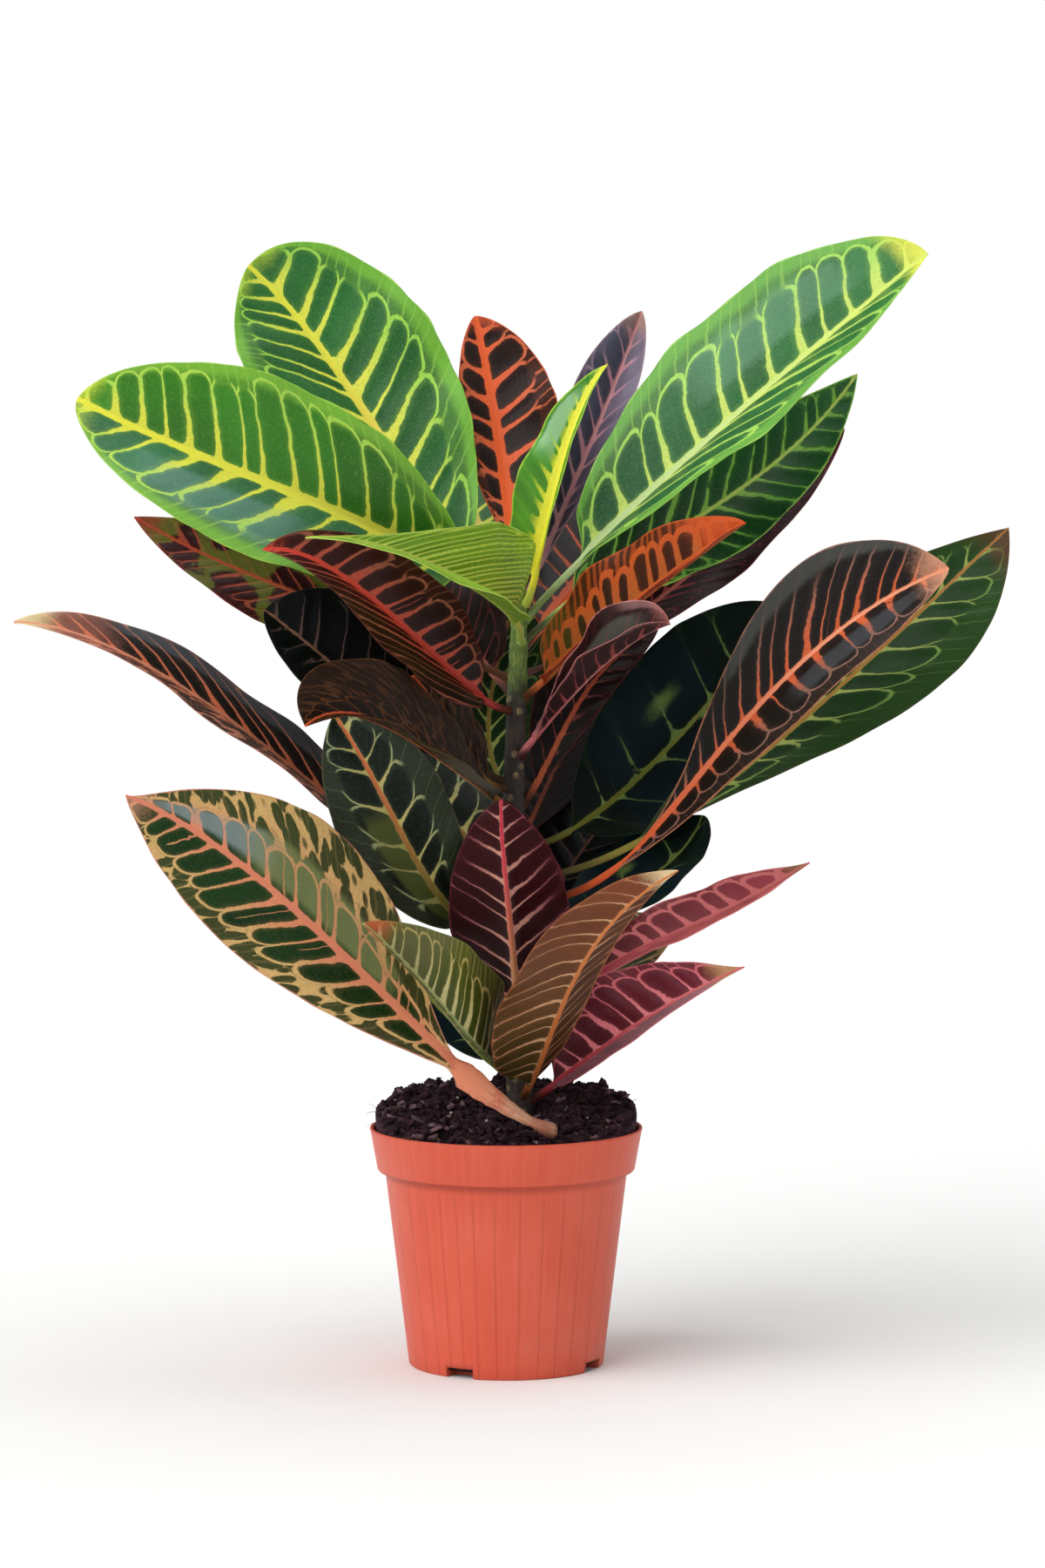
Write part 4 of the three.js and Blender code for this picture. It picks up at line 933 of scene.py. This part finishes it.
def build_pot():
    bm = bmesh.new()
    chain = [bm.verts.new((radius * MM, 0, z * MM)) for radius, z in POT_PROFILE]
    edges = [bm.edges.new(pair) for pair in zip(chain, chain[1:])]
    bmesh.ops.spin(bm, geom=chain + edges, cent=(0, 0, 0), axis=(0, 0, 1), angle=2 * math.pi,
                   steps=POT_SIDES, use_merge=True, use_duplicate=False)
    bmesh.ops.remove_doubles(bm, verts=bm.verts, dist=1e-6)
    bmesh.ops.recalc_face_normals(bm, faces=bm.faces)
    pot = make_piece("nursery_pot", bm, "pot", [plastic_material()])
    bpy.context.view_layer.update()
    slots = bmesh.new()
    for i in range(SLOT_COUNT):
        turn = math.radians(SLOT_TURN + 360 / SLOT_COUNT * i)
        for vertex in bmesh.ops.create_cube(slots, size=1)["verts"]:
            local = Vector([vertex.co[k] * SLOT_SIZE[k] for k in range(3)])
            local = (local + Vector((SLOT_RADIUS, 0, 0))) * MM
            vertex.co = Vector((local.x * math.cos(turn) - local.y * math.sin(turn),
                                local.x * math.sin(turn) + local.y * math.cos(turn), local.z))
    cutter_mesh = bpy.data.meshes.new("slots")
    slots.to_mesh(cutter_mesh)
    slots.free()
    cutter = bpy.data.objects.new("slots", cutter_mesh)
    bpy.context.collection.objects.link(cutter)
    cut = pot.modifiers.new("slots", "BOOLEAN")
    cut.object = cutter
    cut.operation = "DIFFERENCE"
    cut.solver = "EXACT"
    bpy.context.view_layer.update()
    shape = bpy.data.meshes.new_from_object(pot.evaluated_get(bpy.context.evaluated_depsgraph_get()))
    pot.modifiers.clear()
    pot.data = shape
    bpy.data.objects.remove(cutter)


build_pot()


# ---- Soil: dark, moist potting mix that fills the pot. Its surface is lumpy, heaps towards the back
# and the sides, and drops a little to the pot's wall.
SOIL_SIDES = 200
SOIL_RINGS = 90
SOIL_RADIUS = 57.6
# radius and height of the rings inside the pot, from its floor up
SOIL_WALL = [(41, 2.8), (51.2, 85.5), (54.4, 88.6), (57.2, 100)]


def soil_top(x, y):
    """The heap's plain form, as the solid has it."""
    radius = math.hypot(x, y) / 60
    return 106 + 0.16 * y + 6 * (1 - radius * radius) + 8 * (x / 60) ** 2


def soil_surface(x, y):
    """The height of the lumpy surface, just under the plain form at the pot's wall."""
    spot = Vector((x, y, 3.7))
    lumps = 2.6 * noise.fractal(spot * 0.11, 0.9, 2.1, 4) + 1.5 * noise.noise(spot * 0.4)
    edge = min(1, max(0, (58 - math.hypot(x, y)) / 6))
    heap = 2.5 * min(1, max(0, (y + 5) / 30)) * edge
    return soil_top(x, y) - 0.6 + heap - 2.5 * (1 - edge) ** 2 + lumps * (0.4 + 0.6 * edge)


def soil_material():
    """Moist mix: near-black brown clods about 4 mm wide, with lighter crumbs of 1.4 mm."""
    material, tree, shader = new_material("potting_soil")
    clods = texture(tree, "ShaderNodeTexNoise", 260, detail=5, roughness=0.7)
    specks = texture(tree, "ShaderNodeTexVoronoi", 700)
    tone = blend(tree, clods.step(0.35, 0.7), "#140910", "#4c3039")
    tone = blend(tree, specks.step(0.25, 0.1) * 0.35, tone, "#5e4648")
    tree.links.new(tone, shader.inputs["Base Color"])
    tree.links.new((clods * 0.3 + 0.6).socket, shader.inputs["Roughness"])
    shader.inputs["Specular IOR Level"].default_value = 0.15
    bump(tree, shader, clods * 0.7 + specks * 0.3, 0.0012)
    return material


def build_soil(material):
    bm, places = sheet_of(SOIL_SIDES, SOIL_RINGS)
    wall = len(SOIL_WALL)
    for vertex, (i, j) in zip(bm.verts, places):
        angle = 2 * math.pi * (i % SOIL_SIDES) / SOIL_SIDES
        if j < wall:
            radius, z = SOIL_WALL[j]
        else:
            radius = SOIL_RADIUS * (1 - (j - wall) / (SOIL_RINGS - wall))
            z = soil_surface(radius * math.cos(angle), radius * math.sin(angle))
        vertex.co = Vector((radius * math.cos(angle), radius * math.sin(angle), z)) * MM
    closed(bm, SOIL_SIDES)
    make_piece("potting_mix", bm, "soil", [material])


mix = soil_material()
build_soil(mix)


# ---- Crumbs of the mix, of one to six millimetres, that lie loose on it after watering. Most are
# fine, and each is a squashed and turned ball of few faces.
CRUMB_COUNT = 1100
CRUMB_LEAST, CRUMB_GROWTH, CRUMB_RARITY = 0.6, 2.6, 2.4
FULL_TURN = 6.28
# the hole's place in the soil and its radius with a margin
HOLE_X, HOLE_Y, HOLE_CLEAR = 6, 1.7, 8
draws = np.random.default_rng(7)


def scattered(count, edge=56.5):
    """Spots on the soil's surface, clear of the stem."""
    spots = []
    while len(spots) < count:
        x, y = draws.uniform(-edge, edge, 2)
        if math.hypot(x, y) < edge and math.hypot(x - HOLE_X, y - HOLE_Y) > HOLE_CLEAR:
            spots.append(Vector((x, y, soil_surface(x, y))))
    return spots


def turned(point, angles):
    """A point turned about each axis by its angle."""
    for axis, angle in enumerate(angles):
        a, b = [k for k in range(3) if k != axis]
        c, s = math.cos(angle), math.sin(angle)
        point[a], point[b] = point[a] * c - point[b] * s, point[a] * s + point[b] * c
    return point


def lifted(spot, local, height):
    """A place on the soil in metres, from its spot, what is added to it and a height above it."""
    return (spot + local + Vector((0, 0, height))) * MM


def build_crumbs(material):
    bm = bmesh.new()
    for spot in scattered(CRUMB_COUNT):
        size = CRUMB_LEAST + CRUMB_GROWTH * draws.random() ** CRUMB_RARITY
        made = bmesh.ops.create_icosphere(bm, subdivisions=1, radius=1)["verts"]
        squash = draws.uniform(0.6, 1.2, 3)
        twist = draws.uniform(0, FULL_TURN, 3)
        for vertex in made:
            jitter = 1 + 0.35 * (draws.random() - 0.5)
            local = Vector([vertex.co[k] * squash[k] * size * jitter for k in range(3)])
            vertex.co = lifted(spot, turned(local, twist), 0.25 * size)
    make_piece("soil_crumbs", bm, "soil", [material], smooth=False)


build_crumbs(mix)


# ---- Bark: flat chips of composted pine bark, two to nine millimetres long, bedded almost level in
# the mix. The larger ones lie at the left.
BARK_COUNT = 80
BARK_SHAPE = (1.6, 0.8, 0.3)
BARK_LARGER, BARK_LARGER_LEFT_OF = 1.6, -20


def matt_material(name, scale, detail, colours, rough, depth=0, **settings):
    """A dull mottled stuff: a grain of the given scale between two colours, with its relief."""
    material, tree, shader = new_material(name)
    grain = texture(tree, "ShaderNodeTexNoise", scale, detail=detail, **settings)
    tree.links.new(blend(tree, grain.step(0.3, 0.7), *colours), shader.inputs["Base Color"])
    shader.inputs["Roughness"].default_value = rough
    if depth:
        bump(tree, shader, grain, depth)
    return material


def build_bark():
    bm = bmesh.new()
    for spot in scattered(BARK_COUNT, 54):
        size = draws.uniform(1.4, 3.6) * (BARK_LARGER if spot.x < BARK_LARGER_LEFT_OF else 1)
        made = bmesh.ops.create_cube(bm, size=1)["verts"]
        twist = draws.uniform(-0.5, 0.5, 3) + np.array([0, 0, draws.uniform(0, FULL_TURN)])
        for vertex in made:
            jitter = draws.uniform(0.75, 1.15, 3)
            local = Vector([vertex.co[k] * size * BARK_SHAPE[k] * jitter[k] for k in range(3)])
            vertex.co = lifted(spot, turned(local, twist), 0.6)
    # dry bark: greyed brown with a fibrous grain 2 mm wide
    bark = matt_material("bark_chips", 500, 4, ("#442c32", "#94727a"), 0.8, 0.0006, roughness=0.7)
    make_piece("soil_bark", bm, "soil", [bark], smooth=False)


build_bark()


# ---- Fibres: thin curled threads of root and peat, three to nine millimetres long, that stick out
# of the mix. Each is a four-sided thread that thins to its end.
FIBRE_COUNT = 230
FIBRE_STEPS = 7
FIBRE_SAG = 0.18
# threads near the pot's wall stay above its rim
WALL_START, WALL_BY, RIM_TOP, RIM_CLEAR = 55, 56, 105.6, 106


def build_fibres():
    bm = bmesh.new()
    for spot in scattered(FIBRE_COUNT, 57.5):
        heading = draws.uniform(0, FULL_TURN)
        climb = draws.uniform(-0.1, 0.9)
        length = draws.uniform(3, 9)
        curl = draws.uniform(-0.6, 0.6)
        thick = draws.uniform(0.1, 0.22)
        place = spot.copy()
        if math.hypot(place.x, place.y) > WALL_START:
            place.z = max(place.z, RIM_TOP)
        before = []
        for step in range(FIBRE_STEPS):
            ring = bmesh.ops.create_circle(bm, segments=4, radius=thick * (1 - 0.7 * step / FIBRE_STEPS),
                                           cap_ends=step in (0, FIBRE_STEPS - 1))["verts"]
            ahead = Vector((math.cos(heading) * math.cos(climb), math.sin(heading) * math.cos(climb),
                            math.sin(climb)))
            spin = ahead.to_track_quat("Z", "Y")
            for vertex in ring:
                vertex.co = (place + spin @ vertex.co) * MM
            edges = list(dict.fromkeys(edge for vertex in ring for edge in vertex.link_edges))
            if before:
                bmesh.ops.bridge_loops(bm, edges=before + edges)
            before = edges
            place += ahead * length / FIBRE_STEPS
            if math.hypot(place.x, place.y) > WALL_BY:
                place.z = max(place.z, RIM_CLEAR)
            heading += curl
            climb -= FIBRE_SAG
    bmesh.ops.recalc_face_normals(bm, faces=bm.faces)
    # dead root and peat: brown, mottled over 2.5 mm
    fibre = matt_material("peat_fibres", 400, 2, ("#2e201a", "#7a5c46"), 0.75)
    make_piece("soil_fibres", bm, "soil", [fibre])


build_fibres()


# ---- Perlite: a few white grains of expanded volcanic glass, one to two millimetres wide, mixed
# into the soil to keep it open.
PERLITE_COUNT = 26


def build_perlite():
    bm = bmesh.new()
    for spot in scattered(PERLITE_COUNT):
        size = draws.uniform(0.4, 1.0)
        for vertex in bmesh.ops.create_icosphere(bm, subdivisions=1, radius=1)["verts"]:
            vertex.co = lifted(spot, vertex.co * size * (1 + 0.3 * (draws.random() - 0.5)), 0.5 * size)
    # chalky and porous: off-white with pores of about a millimetre
    perlite = matt_material("perlite", 900, 3, ("#a89c94", "#e8e2dc"), 0.9, 0.0003)
    make_piece("soil_perlite", bm, "soil", [perlite], smooth=False)


build_perlite()
